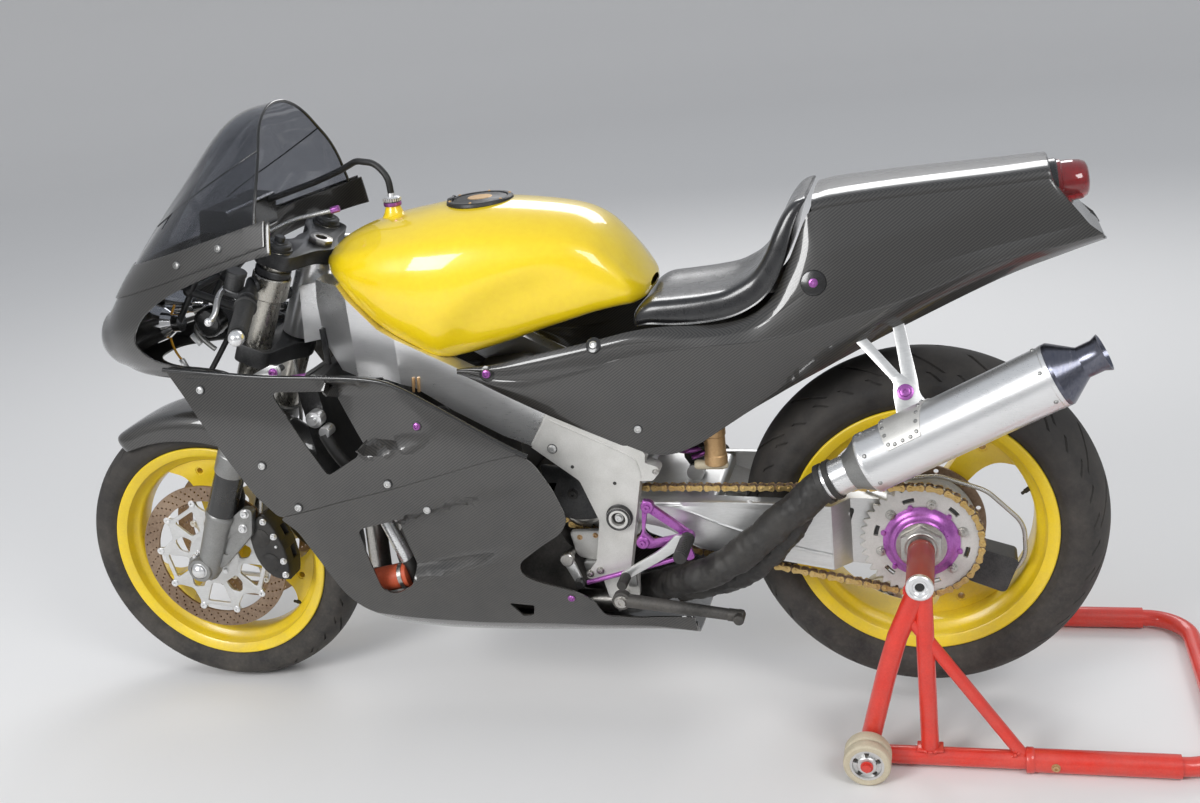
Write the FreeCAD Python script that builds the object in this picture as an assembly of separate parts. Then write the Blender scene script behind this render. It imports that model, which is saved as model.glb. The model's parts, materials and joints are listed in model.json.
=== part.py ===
import FreeCAD, Part
import math
import os

# Race sport motorcycle held at the back by a one sided tubular paddock stand.
# Millimetres. +X is forward, +Y is the rider's left, +Z is up, the floor is z = 0.
# Body tables are drawn from the rear axle (x) and above the floor (z), then
# moved into the part's frame by at(), which adds REAR_X and RISE.

# Steering geometry
RAKE = 23.65
FORK_LENGTH = 687.2
FORK_OFFSET = 36.0
AXLE_LEAD = 10.0
FORK_SPREAD = 105.0
HEAD_X = 1087.2
HEAD_DRAWN_Z = 905.0
DRAWN_AXLE_Z = 357.0

# Wheels
FRONT_TYRE_R = 294.0
FRONT_TYRE_HALF = 60.0
REAR_TYRE_R = 319.0
REAR_TYRE_HALF = 86.0
FLANGE_R = 232.0
SEAT_R = 219.0
RIM_WALL = 6.0
FRONT_RIM_HALF = 52.0
REAR_RIM_HALF = 70.0
SPOKES = 3
TYRE_SIDES = 44
TYRE_SEAT_GAP = 0.3

# Axles, hubs and running clearances
RUN_CLEAR = 0.1
FRONT_AXLE_R = 12.5
FRONT_HUB_R = 33.0
FRONT_HUB_HALF = 54.0
REAR_AXLE_R = 30.0
REAR_AXLE_BORE_R = 15.0
STEM_R = 20.0
HEAD_TUBE_R = 33.0

# Brakes
DISC_R = 157.0
DISC_BAND = 33.0
DISC_THICK = 5.0
DISC_Y = 66.0
REAR_DISC_R = 110.0
CALIPER_IN_R = 112.0
CALIPER_OUT_R = 182.0
CALIPER_START = 28.0
CALIPER_SWEEP = 50.0
REAR_DISC_Y = 24.0

# Fork
UPPER_LEG_R = 26.0
LOWER_LEG_R = 29.0
CLAMP_THICK = 28.0
LOWER_CLAMP_DROP = 196.0
GUARD_LENGTH = 165.0
GUARD_ABOVE_AXLE = 132.2
GUARD_TOP = FORK_LENGTH - GUARD_ABOVE_AXLE - GUARD_LENGTH

# Chain and sprockets
CHAIN_PITCH = 15.875
REAR_TEETH = 40
FRONT_TEETH = 16
CHAIN_Y = 105.0
CHAIN_GAP = 3.6
LINK_THICK = 2.2
LINK_HALF = 7.4
LINK_WAIST = 5.0
ROLLER_HALF = 3.6
FRONT_SPROCKET_X = 600.0
FRONT_SPROCKET_Z = 421.0
SPROCKET_THICK = 6.0

# Frame, swingarm and stand
PIVOT_X = 521.0
PIVOT_Z = 425.0
PLATE_IN = 125.0
PLATE_OUT = 155.0
ARM_RING_R = 86.0
CARRIER_R = 62.0
STAND_REACH = 504.0
STAND_TUBE_R = 16.0
STAND_BAR_Y = 250.0
STAND_BAR_Z = 20.0
STAND_SLEEVE_R = 23.0
STAND_SLEEVE_END = 280.0
STAND_WHEEL_R = 40.0
STAND_WHEEL_X = 95.0
PANEL_WALL = 4.0
TAB_X = 840.0
TAB_Z = 640.0

# Rear shock and subframe
SHOCK_X = 404.0
SHOCK_EYE_R = 13.0
CROSS_X = 420.0
CROSS_Z = 640.0
CROSS_R = 9.0

# Tank filler
FILLER_X = 756.0
FILLER_RING_R = 60.0
LID_R = 49.5

# Side stand, folded back at rest
STAND_PIVOT_X = 525.0
STAND_PIVOT_Z = 276.0
STAND_LEG_Y = 186.0
STAND_PIN_R = 7.0
STAND_LEG = 212.0
STAND_LEG_DROP = 26.0
GEAR_LEVER_Y = 176.0

# Headlights
LAMP_Y = 62.0
LAMP_Z = 790.0

# Silencer and exhaust
SILENCER_R = 51.0
HANGER_LEAN = 30.6
LINK_PIPE_R = 27.0

V = FreeCAD.Vector
Y_AXIS = V(0, 1, 0)
rake = math.radians(RAKE)

# The front axle hangs from the steering head, and the front tyre stands on the floor.
axle_forward = FORK_OFFSET + AXLE_LEAD
FRONT_X = HEAD_X + axle_forward * math.cos(rake) + FORK_LENGTH * math.sin(rake)
front_drawn_z = HEAD_DRAWN_Z + axle_forward * math.sin(rake) - FORK_LENGTH * math.cos(rake)
RISE = FRONT_TYRE_R - front_drawn_z
REAR_X = -(FRONT_X + FRONT_TYRE_R - STAND_REACH) / 2.0

nodes = {}


def at(x, y, z):
    """Point of a body table, moved into the part's frame."""
    return V(REAR_X + x, y, z + RISE)


def ground(x, y, z):
    """Point at a height above the floor, for what stands on it."""
    return V(REAR_X + x, y, z)


def rod(start, end, radius):
    return Part.makeCylinder(radius, (end - start).Length, start, end - start)


def hollow(start, end, outer, inner):
    return rod(start, end, outer).cut(rod(start, end, inner))


def cone(start, end, r_start, r_end):
    return Part.makeCone(r_start, r_end, (end - start).Length, start, end - start)


def block(x0, x1, y0, y1, z0, z1):
    corner = at(x0, y0, z0)
    return Part.makeBox(x1 - x0, y1 - y0, z1 - z0, corner)


def mirror_y(shape):
    return shape.mirror(V(0, 0, 0), Y_AXIS)


def both(shape):
    return Part.makeCompound([shape, mirror_y(shape)])


def fuse(shapes):
    first = shapes[0]
    if len(shapes) == 1:
        return first
    return first.fuse(shapes[1:]).removeSplitter()


def corner_arc(before, corner, after, radius):
    """Ends and middle of the arc that rounds a corner."""
    to_before = (before - corner).normalize()
    to_after = (after - corner).normalize()
    half = to_before.getAngle(to_after) / 2.0
    reach = radius / math.tan(half)
    bisector = (to_before + to_after).normalize()
    centre = corner + bisector * (radius / math.sin(half))
    return (corner + to_before * reach, centre - bisector * radius, corner + to_after * reach)


def rounded(points, radius=0.0):
    """Closed wire through (point, own radius) or plain points, with its corners rounded."""
    corners = [p if isinstance(p, tuple) else (p, radius) for p in points]
    count = len(corners)
    edges = []
    starts = []
    for index in range(count):
        point, own = corners[index]
        before = corners[index - 1][0]
        after = corners[(index + 1) % count][0]
        if own > 0:
            starts.append(corner_arc(before, point, after, own))
        else:
            starts.append((point, None, point))
    for index in range(count):
        first, middle, last = starts[index]
        if middle is not None:
            edges.append(Part.Arc(first, middle, last).toShape())
        following = starts[(index + 1) % count][0]
        if (following - last).Length > 1e-6:
            edges.append(Part.LineSegment(last, following).toShape())
    return Part.Wire(edges)


def slab(outline, y0, y1, radius=0.0):
    """Side outline of (x, z) or (x, z, own radius), as a plate from y0 to y1."""
    points = []
    for item in outline:
        own = item[2] if len(item) > 2 else radius
        points.append((at(item[0], y0, item[1]), own))
    return Part.Face(rounded(points)).extrude(V(0, y1 - y0, 0))


def plan(outline, z0, z1, radius=0.0):
    """Plan outline of (x, y), as a block from z0 to z1."""
    points = [(at(x, y, z0), radius) for x, y in outline]
    return Part.Face(rounded(points)).extrude(V(0, 0, z1 - z0))


def pipe(points, radius, bend, wall=0.0):
    """Round tube along straight runs joined by tangent arcs."""
    edges = []
    last = points[0]
    for index in range(1, len(points) - 1):
        first, middle, end = corner_arc_open(points[index - 1], points[index], points[index + 1], bend)
        if (first - last).Length > 1e-6:
            edges.append(Part.LineSegment(last, first).toShape())
        edges.append(Part.Arc(first, middle, end).toShape())
        last = end
    edges.append(Part.LineSegment(last, points[-1]).toShape())
    path = Part.Wire(edges)
    direction = points[1] - points[0]
    outer = Part.Wire([Part.makeCircle(radius, points[0], direction)])
    body = path.makePipeShell([outer], True, False)
    if wall > 0:
        inner = Part.Wire([Part.makeCircle(radius - wall, points[0], direction)])
        body = body.cut(path.makePipeShell([inner], True, False))
    return body


def corner_arc_open(before, corner, after, bend):
    """As corner_arc, but limited by the runs beside it."""
    run = min((before - corner).Length, (after - corner).Length)
    half = (before - corner).getAngle(after - corner) / 2.0
    radius = min(bend, 0.49 * run * math.tan(half))
    return corner_arc(before, corner, after, radius)


def turned(profile, centre):
    """Ring turned about the wheel axis from (radius, y) points."""
    points = [centre + V(0, y, radius) for radius, y in profile]
    face = Part.Face(Part.makePolygon(points + [points[0]]))
    return face.revolve(centre, Y_AXIS, 360)


def spun(shape, centre, count, start=0.0):
    """Copies of a shape round the wheel axis."""
    copies = []
    for index in range(count):
        piece = shape.copy()
        piece.rotate(centre, Y_AXIS, start + 360.0 * index / count)
        copies.append(piece)
    return copies


def largest(shape):
    """The biggest solid of a cut, without its loose crumbs."""
    return max(shape.Solids, key=lambda solid: solid.Volume)


def loft(wires, ruled=False):
    return Part.makeLoft(wires, True, ruled)


def crown_section(x, bottom, half_low, half, waist, half_top, shoulder, top):
    """Cross section of a body: flat floor, two bowed sides and a crowned top."""
    low_left = at(x, -half_low, bottom)
    low_right = at(x, half_low, bottom)
    top_left = at(x, -half_top, shoulder)
    top_right = at(x, half_top, shoulder)
    return Part.Wire([
        Part.LineSegment(low_left, low_right).toShape(),
        Part.Arc(low_right, at(x, half, waist), top_right).toShape(),
        Part.Arc(top_right, at(x, 0, top), top_left).toShape(),
        Part.Arc(top_left, at(x, -half, waist), low_left).toShape(),
    ])


def crowned(table, inset=0.0, ruled=False):
    return loft([crown_section(x, bottom + inset, low - inset, half - inset, waist,
                               narrow - inset, shoulder - inset, top - inset)
                 for x, bottom, low, half, waist, narrow, shoulder, top in table], ruled)


def steer(shape):
    """Turns a piece drawn upright at the steering head onto the raked axis."""
    piece = shape.copy()
    piece.rotate(HEAD, Y_AXIS, -RAKE)
    return piece


def up(x, y, z):
    """Point drawn upright from the steering axis at the upper clamp."""
    return HEAD + V(x, y, z)


HEAD = at(HEAD_X, 0, HEAD_DRAWN_Z)
REAR_HUB = at(0, 0, DRAWN_AXLE_Z)
FRONT_HUB = at(FRONT_X, 0, front_drawn_z)
PIVOT = at(PIVOT_X, 0, PIVOT_Z)


# Wheels

def faceted_ring(profile, centre, sides):
    """Closed ring of flat facets from (radius, y) points, each flat at its radius."""
    stretch = 1.0 / math.cos(math.pi / sides)
    rings = []
    for radius, y in profile:
        ring = []
        for index in range(sides):
            turn = 2.0 * math.pi * (index + 0.5) / sides
            ring.append(centre + V(radius * stretch * math.sin(turn), y, radius * stretch * math.cos(turn)))
        rings.append(ring)
    faces = []
    for first, second in zip(rings, rings[1:] + rings[:1]):
        for index in range(sides):
            after = (index + 1) % sides
            corners = [first[index], first[after], second[after], second[index], first[index]]
            faces.append(Part.Face(Part.makePolygon(corners)))
    shell = Part.makeShell(faces)
    shell.sewShape()
    solid = Part.makeSolid(shell)
    return solid if solid.Volume > 0 else solid.reversed()


def tyre(centre, radius, half):
    """Tyre with a round crown, full sidewalls and beads on the rim seats."""
    bead = SEAT_R + TYRE_SEAT_GAP
    side = FLANGE_R + 0.42 * (radius - FLANGE_R)
    crown = []
    for turn in (90.0, 58.0, 28.0, 0.0):
        turn = math.radians(turn)
        crown.append((side + (radius - side) * math.cos(turn), half * math.sin(turn)))
    rim_half = half * 0.79
    outer = [(bead, rim_half - 12), (FLANGE_R + 1, rim_half - 6)] + crown
    return faceted_ring(outer + [(r, -y) for r, y in reversed(outer[:-1])], centre, TYRE_SIDES)


def rim_ring(centre, half):
    """Drop centre rim with two flanges."""
    drop = SEAT_R - 18.0
    outer = [(FLANGE_R, half), (FLANGE_R, half - 7), (SEAT_R, half - 9), (SEAT_R, half - 32),
             (drop, half - 38), (drop, -half + 38), (SEAT_R, -half + 32), (SEAT_R, -half + 9),
             (FLANGE_R, -half + 7), (FLANGE_R, -half)]
    inner = [(SEAT_R - RIM_WALL, -half + 4), (SEAT_R - RIM_WALL - 3, -half + 26),
             (drop - RIM_WALL, -half + 36), (drop - RIM_WALL, half - 36),
             (SEAT_R - RIM_WALL - 3, half - 26), (SEAT_R - RIM_WALL, half - 4)]
    return turned(outer + inner, centre)


def spoke_blade(centre, half_y, y_mid):
    """One spoke that flares at the rim round a lightening hole."""
    reach = SEAT_R - 18.0 - RIM_WALL / 2.0
    edge = [(-22, 20, 0), (-19, 95, 40), (-27, 140, 60), (-66, reach - 6, 0), (0, reach, 0),
            (66, reach - 6, 0), (27, 140, 60), (19, 95, 40), (22, 20, 0)]
    points = [(centre + V(x, y_mid - half_y, z), r) for x, z, r in edge]
    blade = Part.Face(rounded(points)).extrude(V(0, 2 * half_y, 0))
    hole = [(-12, 152, 8), (0, 147, 8), (12, 152, 8), (22, reach - 16, 7), (-22, reach - 16, 7)]
    points = [(centre + V(x, y_mid - half_y - 1, z), r) for x, z, r in hole]
    return blade.cut(Part.Face(rounded(points)).extrude(V(0, 2 * half_y + 2, 0)))


def wheel(centre, half, spoke_turn, y_mid, hub):
    """Rim, three spokes and hub in one casting."""
    spokes = spun(spoke_blade(centre, 19.0, y_mid), centre, SPOKES, spoke_turn)
    return fuse([rim_ring(centre, half), hub] + spokes)


def front_wheel():
    nodes["front_tyre"] = tyre(FRONT_HUB, FRONT_TYRE_R, FRONT_TYRE_HALF)
    hub = rod(FRONT_HUB + V(0, -FRONT_HUB_HALF, 0), FRONT_HUB + V(0, FRONT_HUB_HALF, 0), FRONT_HUB_R)
    casting = wheel(FRONT_HUB, FRONT_RIM_HALF, 8.0, 0.0, hub)
    bore = rod(FRONT_HUB + V(0, -90, 0), FRONT_HUB + V(0, 90, 0), FRONT_AXLE_R + RUN_CLEAR)
    nodes["front_rim"] = casting.cut(bore)
    rotors = []
    carriers = []
    inner_r = DISC_R - DISC_BAND
    for side in (-1, 1):
        y0 = side * DISC_Y - DISC_THICK / 2.0
        start = FRONT_HUB + V(0, y0, 0)
        end = FRONT_HUB + V(0, y0 + DISC_THICK, 0)
        rotors.append(drilled(hollow(start, end, DISC_R, inner_r), FRONT_HUB, y0, inner_r))
        carriers.append(carrier(side, y0))
    nodes["front_discs"] = Part.makeCompound(rotors)
    nodes["front_disc_carriers"] = Part.makeCompound(carriers)


def drilled(ring, centre, y0, inner_r):
    """Vent holes in two rows round a brake disc."""
    cutters = []
    for row, start in ((0.3, 0.0), (0.7, 15.0)):
        radius = inner_r + DISC_BAND * row
        hole = rod(centre + V(0, y0 - 1, radius), centre + V(0, y0 + DISC_THICK + 1, radius), 4.5)
        cutters += spun(hole, centre, 12, start)
    return ring.cut(cutters)


def carrier(side, y0):
    """Spoked disc carrier that bolts to the hub, with ten bobbins at its rim."""
    band = DISC_R - DISC_BAND - 0.3
    y_hub = side * FRONT_HUB_HALF
    y_far = y0 + DISC_THICK if side > 0 else y0
    start = FRONT_HUB + V(0, y0, 0)
    end = FRONT_HUB + V(0, y0 + DISC_THICK, 0)
    ring = hollow(start, end, band, band - 14)
    arm = Part.makeBox(13, DISC_THICK, band - 46, FRONT_HUB + V(-6.5, y0, 40))
    base = hollow(FRONT_HUB + V(0, min(y_hub, y_far), 0), FRONT_HUB + V(0, max(y_hub, y_far), 0), 48, 24)
    return fuse([ring, base] + spun(arm, FRONT_HUB, 10, 12.0))


def rear_wheel():
    nodes["rear_tyre"] = tyre(REAR_HUB, REAR_TYRE_R, REAR_TYRE_HALF)
    hub = rod(REAR_HUB + V(0, -58, 0), REAR_HUB + V(0, 16, 0), 58)
    casting = wheel(REAR_HUB, REAR_RIM_HALF, -38.0, -12.0, hub)
    nodes["rear_rim"] = casting.cut(rod(REAR_HUB + V(0, -80, 0), REAR_HUB + V(0, 60, 0), REAR_AXLE_R))
    start = REAR_HUB + V(0, REAR_DISC_Y - 2.5, 0)
    end = REAR_HUB + V(0, REAR_DISC_Y + 2.5, 0)
    band = drilled(hollow(start, end, REAR_DISC_R, REAR_DISC_R - DISC_BAND),
                   REAR_HUB, REAR_DISC_Y - 2.5, REAR_DISC_R - DISC_BAND)
    bell = hollow(REAR_HUB + V(0, 16, 0), end, REAR_DISC_R - DISC_BAND, REAR_AXLE_R)
    windows = spun(rod(REAR_HUB + V(0, 15, 58), REAR_HUB + V(0, 30, 58), 9), REAR_HUB, 6)
    nodes["rear_disc"] = fuse([band, bell.cut(windows)])
    rear_axle()
    sprocket()


def rear_axle():
    """Hollow live axle through the hub carrier, with its two big nuts."""
    tube_end = REAR_HUB + V(0, 140, 0)
    axle = rod(REAR_HUB + V(0, -75, 0), tube_end, REAR_AXLE_R)
    nut = hexagon(REAR_HUB + V(0, 126, 0), 41.0, 14.0)
    far_nut = hexagon(REAR_HUB + V(0, -75, 0), 44.0, 17.0)
    axle = fuse([axle, nut, far_nut])
    nodes["rear_axle"] = axle.cut(rod(REAR_HUB + V(0, -80, 0), tube_end + V(0, 5, 0), REAR_AXLE_BORE_R))


def hexagon(centre, radius, height):
    points = []
    for index in range(6):
        turn = math.radians(60.0 * index)
        points.append(centre + V(radius * math.cos(turn), 0, radius * math.sin(turn)))
    return Part.Face(Part.makePolygon(points + [points[0]])).extrude(V(0, height, 0))


def pitch_radius(teeth):
    return CHAIN_PITCH / (2.0 * math.sin(math.pi / teeth))


def gear_blank(centre, teeth):
    """Chain wheel with pointed teeth between round roller seats."""
    pitch_r = pitch_radius(teeth)
    step = 360.0 / teeth
    y0 = CHAIN_Y - SPROCKET_THICK / 2.0
    points = []
    for index in range(teeth):
        for share, radius in ((-0.32, pitch_r - 4.6), (-0.1, pitch_r + 4.6), (0.1, pitch_r + 4.6),
                              (0.32, pitch_r - 4.6)):
            turn = math.radians(step * (index + share))
            points.append(centre + V(radius * math.sin(turn), y0, radius * math.cos(turn)))
    return Part.Face(Part.makePolygon(points + [points[0]])).extrude(V(0, SPROCKET_THICK, 0))


def sprocket():
    """Final drive wheel with six slots, and the coloured carrier it bolts to."""
    wheel_blank = gear_blank(REAR_HUB, REAR_TEETH)
    y0 = CHAIN_Y - SPROCKET_THICK / 2.0
    y1 = CHAIN_Y + SPROCKET_THICK / 2.0
    slot = Part.makeBox(24, 20, 7, REAR_HUB + V(-12, CHAIN_Y - 10, 74))
    wheel_blank = wheel_blank.cut(spun(slot, REAR_HUB, 6, 15.0))
    seat_r = 60.0
    wheel_blank = wheel_blank.cut(rod(REAR_HUB + V(0, y0 - 1, 0), REAR_HUB + V(0, y1 + 1, 0), seat_r))
    bolts = spun(rod(REAR_HUB + V(0, y1, 72), REAR_HUB + V(0, y1 + 5, 72), 6.5), REAR_HUB, 6, 45.0)
    nodes["rear_sprocket"] = fuse([wheel_blank] + bolts)
    ring = turned([(REAR_AXLE_R, y0 - 4), (seat_r, y0 - 4), (seat_r, y1 + 2), (56, y1 + 4),
                   (40, 122), (REAR_AXLE_R, 126)], REAR_HUB)
    flange = hollow(REAR_HUB + V(0, y0 - 4, 0), REAR_HUB + V(0, y0, 0), 80, seat_r)
    nodes["sprocket_carrier"] = fuse([ring, flange])


def tangent_line(low, r_low, high, r_high, side):
    """Points where a straight chain run leaves two chain wheels, side +1 above."""
    gap = high - low
    length = math.hypot(gap.x, gap.z)
    base = math.atan2(gap.z, gap.x)
    lean = math.asin((r_low - r_high) / length)
    turn = base + side * (math.pi / 2.0 - lean)
    ray = V(math.cos(turn), 0, math.sin(turn))
    return low + ray * r_low, high + ray * r_high


def chain():
    """Fixed chain loop: two rows of waisted link plates, with rollers where it runs free of the wheels."""
    rear_r = pitch_radius(REAR_TEETH)
    front_r = pitch_radius(FRONT_TEETH)
    front = at(FRONT_SPROCKET_X, 0, FRONT_SPROCKET_Z)
    top_rear, top_front = tangent_line(REAR_HUB, rear_r, front, front_r, 1)
    low_rear, low_front = tangent_line(REAR_HUB, rear_r, front, front_r, -1)
    middle = Part.Wire([
        Part.LineSegment(top_rear, top_front).toShape(),
        Part.Arc(top_front, front + V(front_r, 0, 0), low_front).toShape(),
        Part.LineSegment(low_front, low_rear).toShape(),
        Part.Arc(low_rear, REAR_HUB - V(rear_r, 0, 0), top_rear).toShape(),
    ])
    links = round(middle.Length / CHAIN_PITCH)
    spots = middle.discretize(2 * links + 1)[:-1]
    edges = ([], [])
    rollers = []
    depth = CHAIN_GAP + LINK_THICK / 2.0
    for index, spot in enumerate(spots):
        ray = (spots[(index + 1) % len(spots)] - spots[index - 1]).normalize()
        normal = V(-ray.z, 0, ray.x)
        reach = LINK_WAIST if index % 2 else LINK_HALF
        edges[0].append(spot + normal * reach)
        edges[1].append(spot - normal * reach)
        free = (spot - REAR_HUB).Length > rear_r + 12 and (spot - front).Length > front_r + 12
        if index % 4 == 0 and free:
            corners = [spot + (ray * along + normal * up_down) * ROLLER_HALF
                       for along, up_down in ((1, 1), (1, -1), (-1, -1), (-1, 1), (1, 1))]
            roller = Part.Face(Part.makePolygon(corners)).extrude(V(0, 2 * depth, 0))
            roller.translate(V(0, CHAIN_Y - depth, 0))
            rollers.append(roller)
    sheets = [Part.Face(Part.makePolygon(edge + [edge[0]])) for edge in edges]
    bands = []
    for y0 in (CHAIN_Y + CHAIN_GAP, CHAIN_Y - CHAIN_GAP - LINK_THICK):
        walls = [sheet.extrude(V(0, LINK_THICK, 0)) for sheet in sheets]
        outer, inner = sorted(walls, key=lambda wall: -wall.Volume)
        band = outer.cut(inner)
        band.translate(V(0, y0, 0))
        bands.append(band)
    nodes["chain"] = fuse(bands + rollers)
    nodes["drive_sprocket"] = gear_blank(front, FRONT_TEETH).fuse(
        rod(front + V(0, CHAIN_Y - 14, 0), front + V(0, CHAIN_Y + 12, 0), 24)).removeSplitter()


# Fork and steering

def fork():
    clamp_top = CLAMP_THICK / 2.0
    outline = [(-34, -40), (-34, 40), (FORK_OFFSET - 34, FORK_SPREAD + 33), (FORK_OFFSET + 36, FORK_SPREAD + 33),
               (FORK_OFFSET + 40, 60), (FORK_OFFSET + 8, 30), (FORK_OFFSET + 8, -30), (FORK_OFFSET + 40, -60),
               (FORK_OFFSET + 36, -FORK_SPREAD - 33), (FORK_OFFSET - 34, -FORK_SPREAD - 33)]
    legs = []
    for side in (-1, 1):
        legs.append(up(FORK_OFFSET, side * FORK_SPREAD, 0))

    def clamp(z_mid, thick):
        points = [(up(x, y, z_mid - thick / 2.0), 14.0) for x, y in outline]
        plate = Part.Face(rounded(points)).extrude(V(0, 0, thick))
        for leg in legs:
            plate = plate.cut(rod(leg + V(0, 0, z_mid - thick), leg + V(0, 0, z_mid + thick), UPPER_LEG_R))
        return plate

    stem = rod(up(0, 0, -LOWER_CLAMP_DROP - 26), up(0, 0, clamp_top + 8), STEM_R)
    stem_bore = rod(up(0, 0, -LOWER_CLAMP_DROP - 40), up(0, 0, clamp_top + 20), 10.5)
    hole = rod(up(0, 0, -clamp_top - 1), up(0, 0, clamp_top + 1), STEM_R)
    nodes["upper_clamp"] = steer(clamp(0, CLAMP_THICK).cut(hole))
    lower = fuse([clamp(-LOWER_CLAMP_DROP, 36.0), stem]).cut(stem_bore)
    nodes["lower_clamp_stem"] = steer(lower)
    guard_top = -GUARD_TOP
    guard_low = -GUARD_TOP - GUARD_LENGTH
    nodes["fork_tubes"] = steer(Part.makeCompound([
        fuse([rod(leg + V(0, 0, guard_top), leg + V(0, 0, 14), UPPER_LEG_R),
              rod(leg + V(0, 0, 14), leg + V(0, 0, 26), UPPER_LEG_R - 2),
              rod(leg + V(0, 0, 26), leg + V(0, 0, 38), 11)]) for leg in legs]))
    nodes["fork_lowers"] = steer(Part.makeCompound([
        fuse([rod(leg + V(0, 0, guard_low), leg + V(0, 0, guard_top), LOWER_LEG_R),
              rod(leg + V(0, 0, guard_top - 24), leg + V(0, 0, guard_top - 4), LOWER_LEG_R + 3)])
        for leg in legs]))
    feet = []
    axle_spot = up(axle_forward, 0, -FORK_LENGTH)
    for side, leg in zip((-1, 1), legs):
        boss = rod(V(axle_spot.x, side * (FORK_SPREAD - 24), axle_spot.z),
                   V(axle_spot.x, side * (FORK_SPREAD + 30), axle_spot.z), 25)
        shank = cone(leg + V(0, 0, guard_low), leg + V(0, 0, -FORK_LENGTH), LOWER_LEG_R - 1, 22)
        lug = caliper_lug(leg)
        foot = fuse([shank, boss, lug])
        bore = rod(V(axle_spot.x, side * 60, axle_spot.z), V(axle_spot.x, side * 160, axle_spot.z), FRONT_AXLE_R)
        feet.append(foot.cut(bore))
    nodes["fork_feet"] = steer(Part.makeCompound(feet))
    axle = rod(V(axle_spot.x, -FORK_SPREAD - 34, axle_spot.z), V(axle_spot.x, FORK_SPREAD + 34, axle_spot.z),
               FRONT_AXLE_R)
    axle = axle.fuse([rod(V(axle_spot.x, side * (FRONT_HUB_HALF + 1), axle_spot.z),
                          V(axle_spot.x, side * (FORK_SPREAD - 24), axle_spot.z), 20) for side in (-1, 1)])
    axle = axle.cut(rod(V(axle_spot.x, -200, axle_spot.z), V(axle_spot.x, 200, axle_spot.z), 7.5))
    nodes["front_axle"] = steer(axle.removeSplitter())


def caliper_lug(leg):
    """Arm on the fork foot that reaches back and up to the caliper."""
    y0 = leg.y - 9
    outline = [(-6, -FORK_LENGTH + 24), (-52, -FORK_LENGTH + 40), (-86, -FORK_LENGTH + 96),
               (-70, -FORK_LENGTH + 116), (-44, -FORK_LENGTH + 76), (-6, -FORK_LENGTH + 80)]
    points = [up(FORK_OFFSET + x, y0, z) for x, z in outline]
    return Part.Face(rounded(points, 5.0)).extrude(V(0, 18, 0))


def calipers():
    """Four piston calipers: sectors that straddle the rotors behind the fork legs."""
    bodies = []
    hub = V(HEAD.x + axle_forward, 0, HEAD.z - FORK_LENGTH)
    for side in (-1, 1):
        mid = side * DISC_Y
        slot = DISC_THICK / 2.0 + 3.0
        inner_side = side * (FRONT_RIM_HALF - 6.0)
        out_side = mid + side * 38.0
        low = min(inner_side, out_side)
        high = max(inner_side, out_side)
        profile = [(CALIPER_IN_R, low), (CALIPER_OUT_R, low), (CALIPER_OUT_R, high), (CALIPER_IN_R, high)]
        points = [hub + V(0, y, radius) for radius, y in profile]
        face = Part.Face(Part.makePolygon(points + [points[0]]))
        face.rotate(hub, Y_AXIS, -CALIPER_START)
        body = face.revolve(hub, Y_AXIS, -CALIPER_SWEEP)
        body = body.cut(rod(hub + V(0, mid - slot, 0), hub + V(0, mid + slot, 0), DISC_R + 4))
        bodies.append(body)
    nodes["front_calipers"] = steer(Part.makeCompound(bodies)).cut([nodes["fork_feet"], nodes["fork_lowers"]])


def mudguard():
    """Short carbon guard over the front tyre, with stays to the fork lowers."""
    inner_r = FRONT_TYRE_R + 16.0
    outer_r = inner_r + 3.0
    half = FRONT_TYRE_HALF + 14.0
    profile_out = [(outer_r - 30, -half - 3), (outer_r - 9, -half + 12), (outer_r, -20), (outer_r, 20),
                   (outer_r - 9, half - 12), (outer_r - 30, half + 3)]
    profile_in = [(inner_r - 30, half), (inner_r - 9, half - 14), (inner_r, 18), (inner_r, -18),
                  (inner_r - 9, -half + 14), (inner_r - 30, -half)]
    points = [FRONT_HUB + V(0, y, radius) for radius, y in profile_out + profile_in]
    face = Part.Face(Part.makePolygon(points + [points[0]]))
    face.rotate(FRONT_HUB, Y_AXIS, 34)
    shell = face.revolve(FRONT_HUB, Y_AXIS, -98)
    ears = []
    for side in (-1, 1):
        y_in = side * (half + 1)
        y_out = side * (FORK_SPREAD - LOWER_LEG_R + 6)
        ears.append(Part.makeBox(60, abs(y_out - y_in), 90,
                                 up(FORK_OFFSET - 44, min(y_in, y_out), -GUARD_TOP - 110)))
    ear = steer(Part.makeCompound(ears)).cut(rod(FRONT_HUB - V(0, 200, 0), FRONT_HUB + V(0, 200, 0), inner_r - 28))
    guard = fuse([shell] + ear.Solids)
    nodes["front_mudguard"] = largest(guard.cut([nodes["fork_lowers"], nodes["fork_feet"]]))


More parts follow.
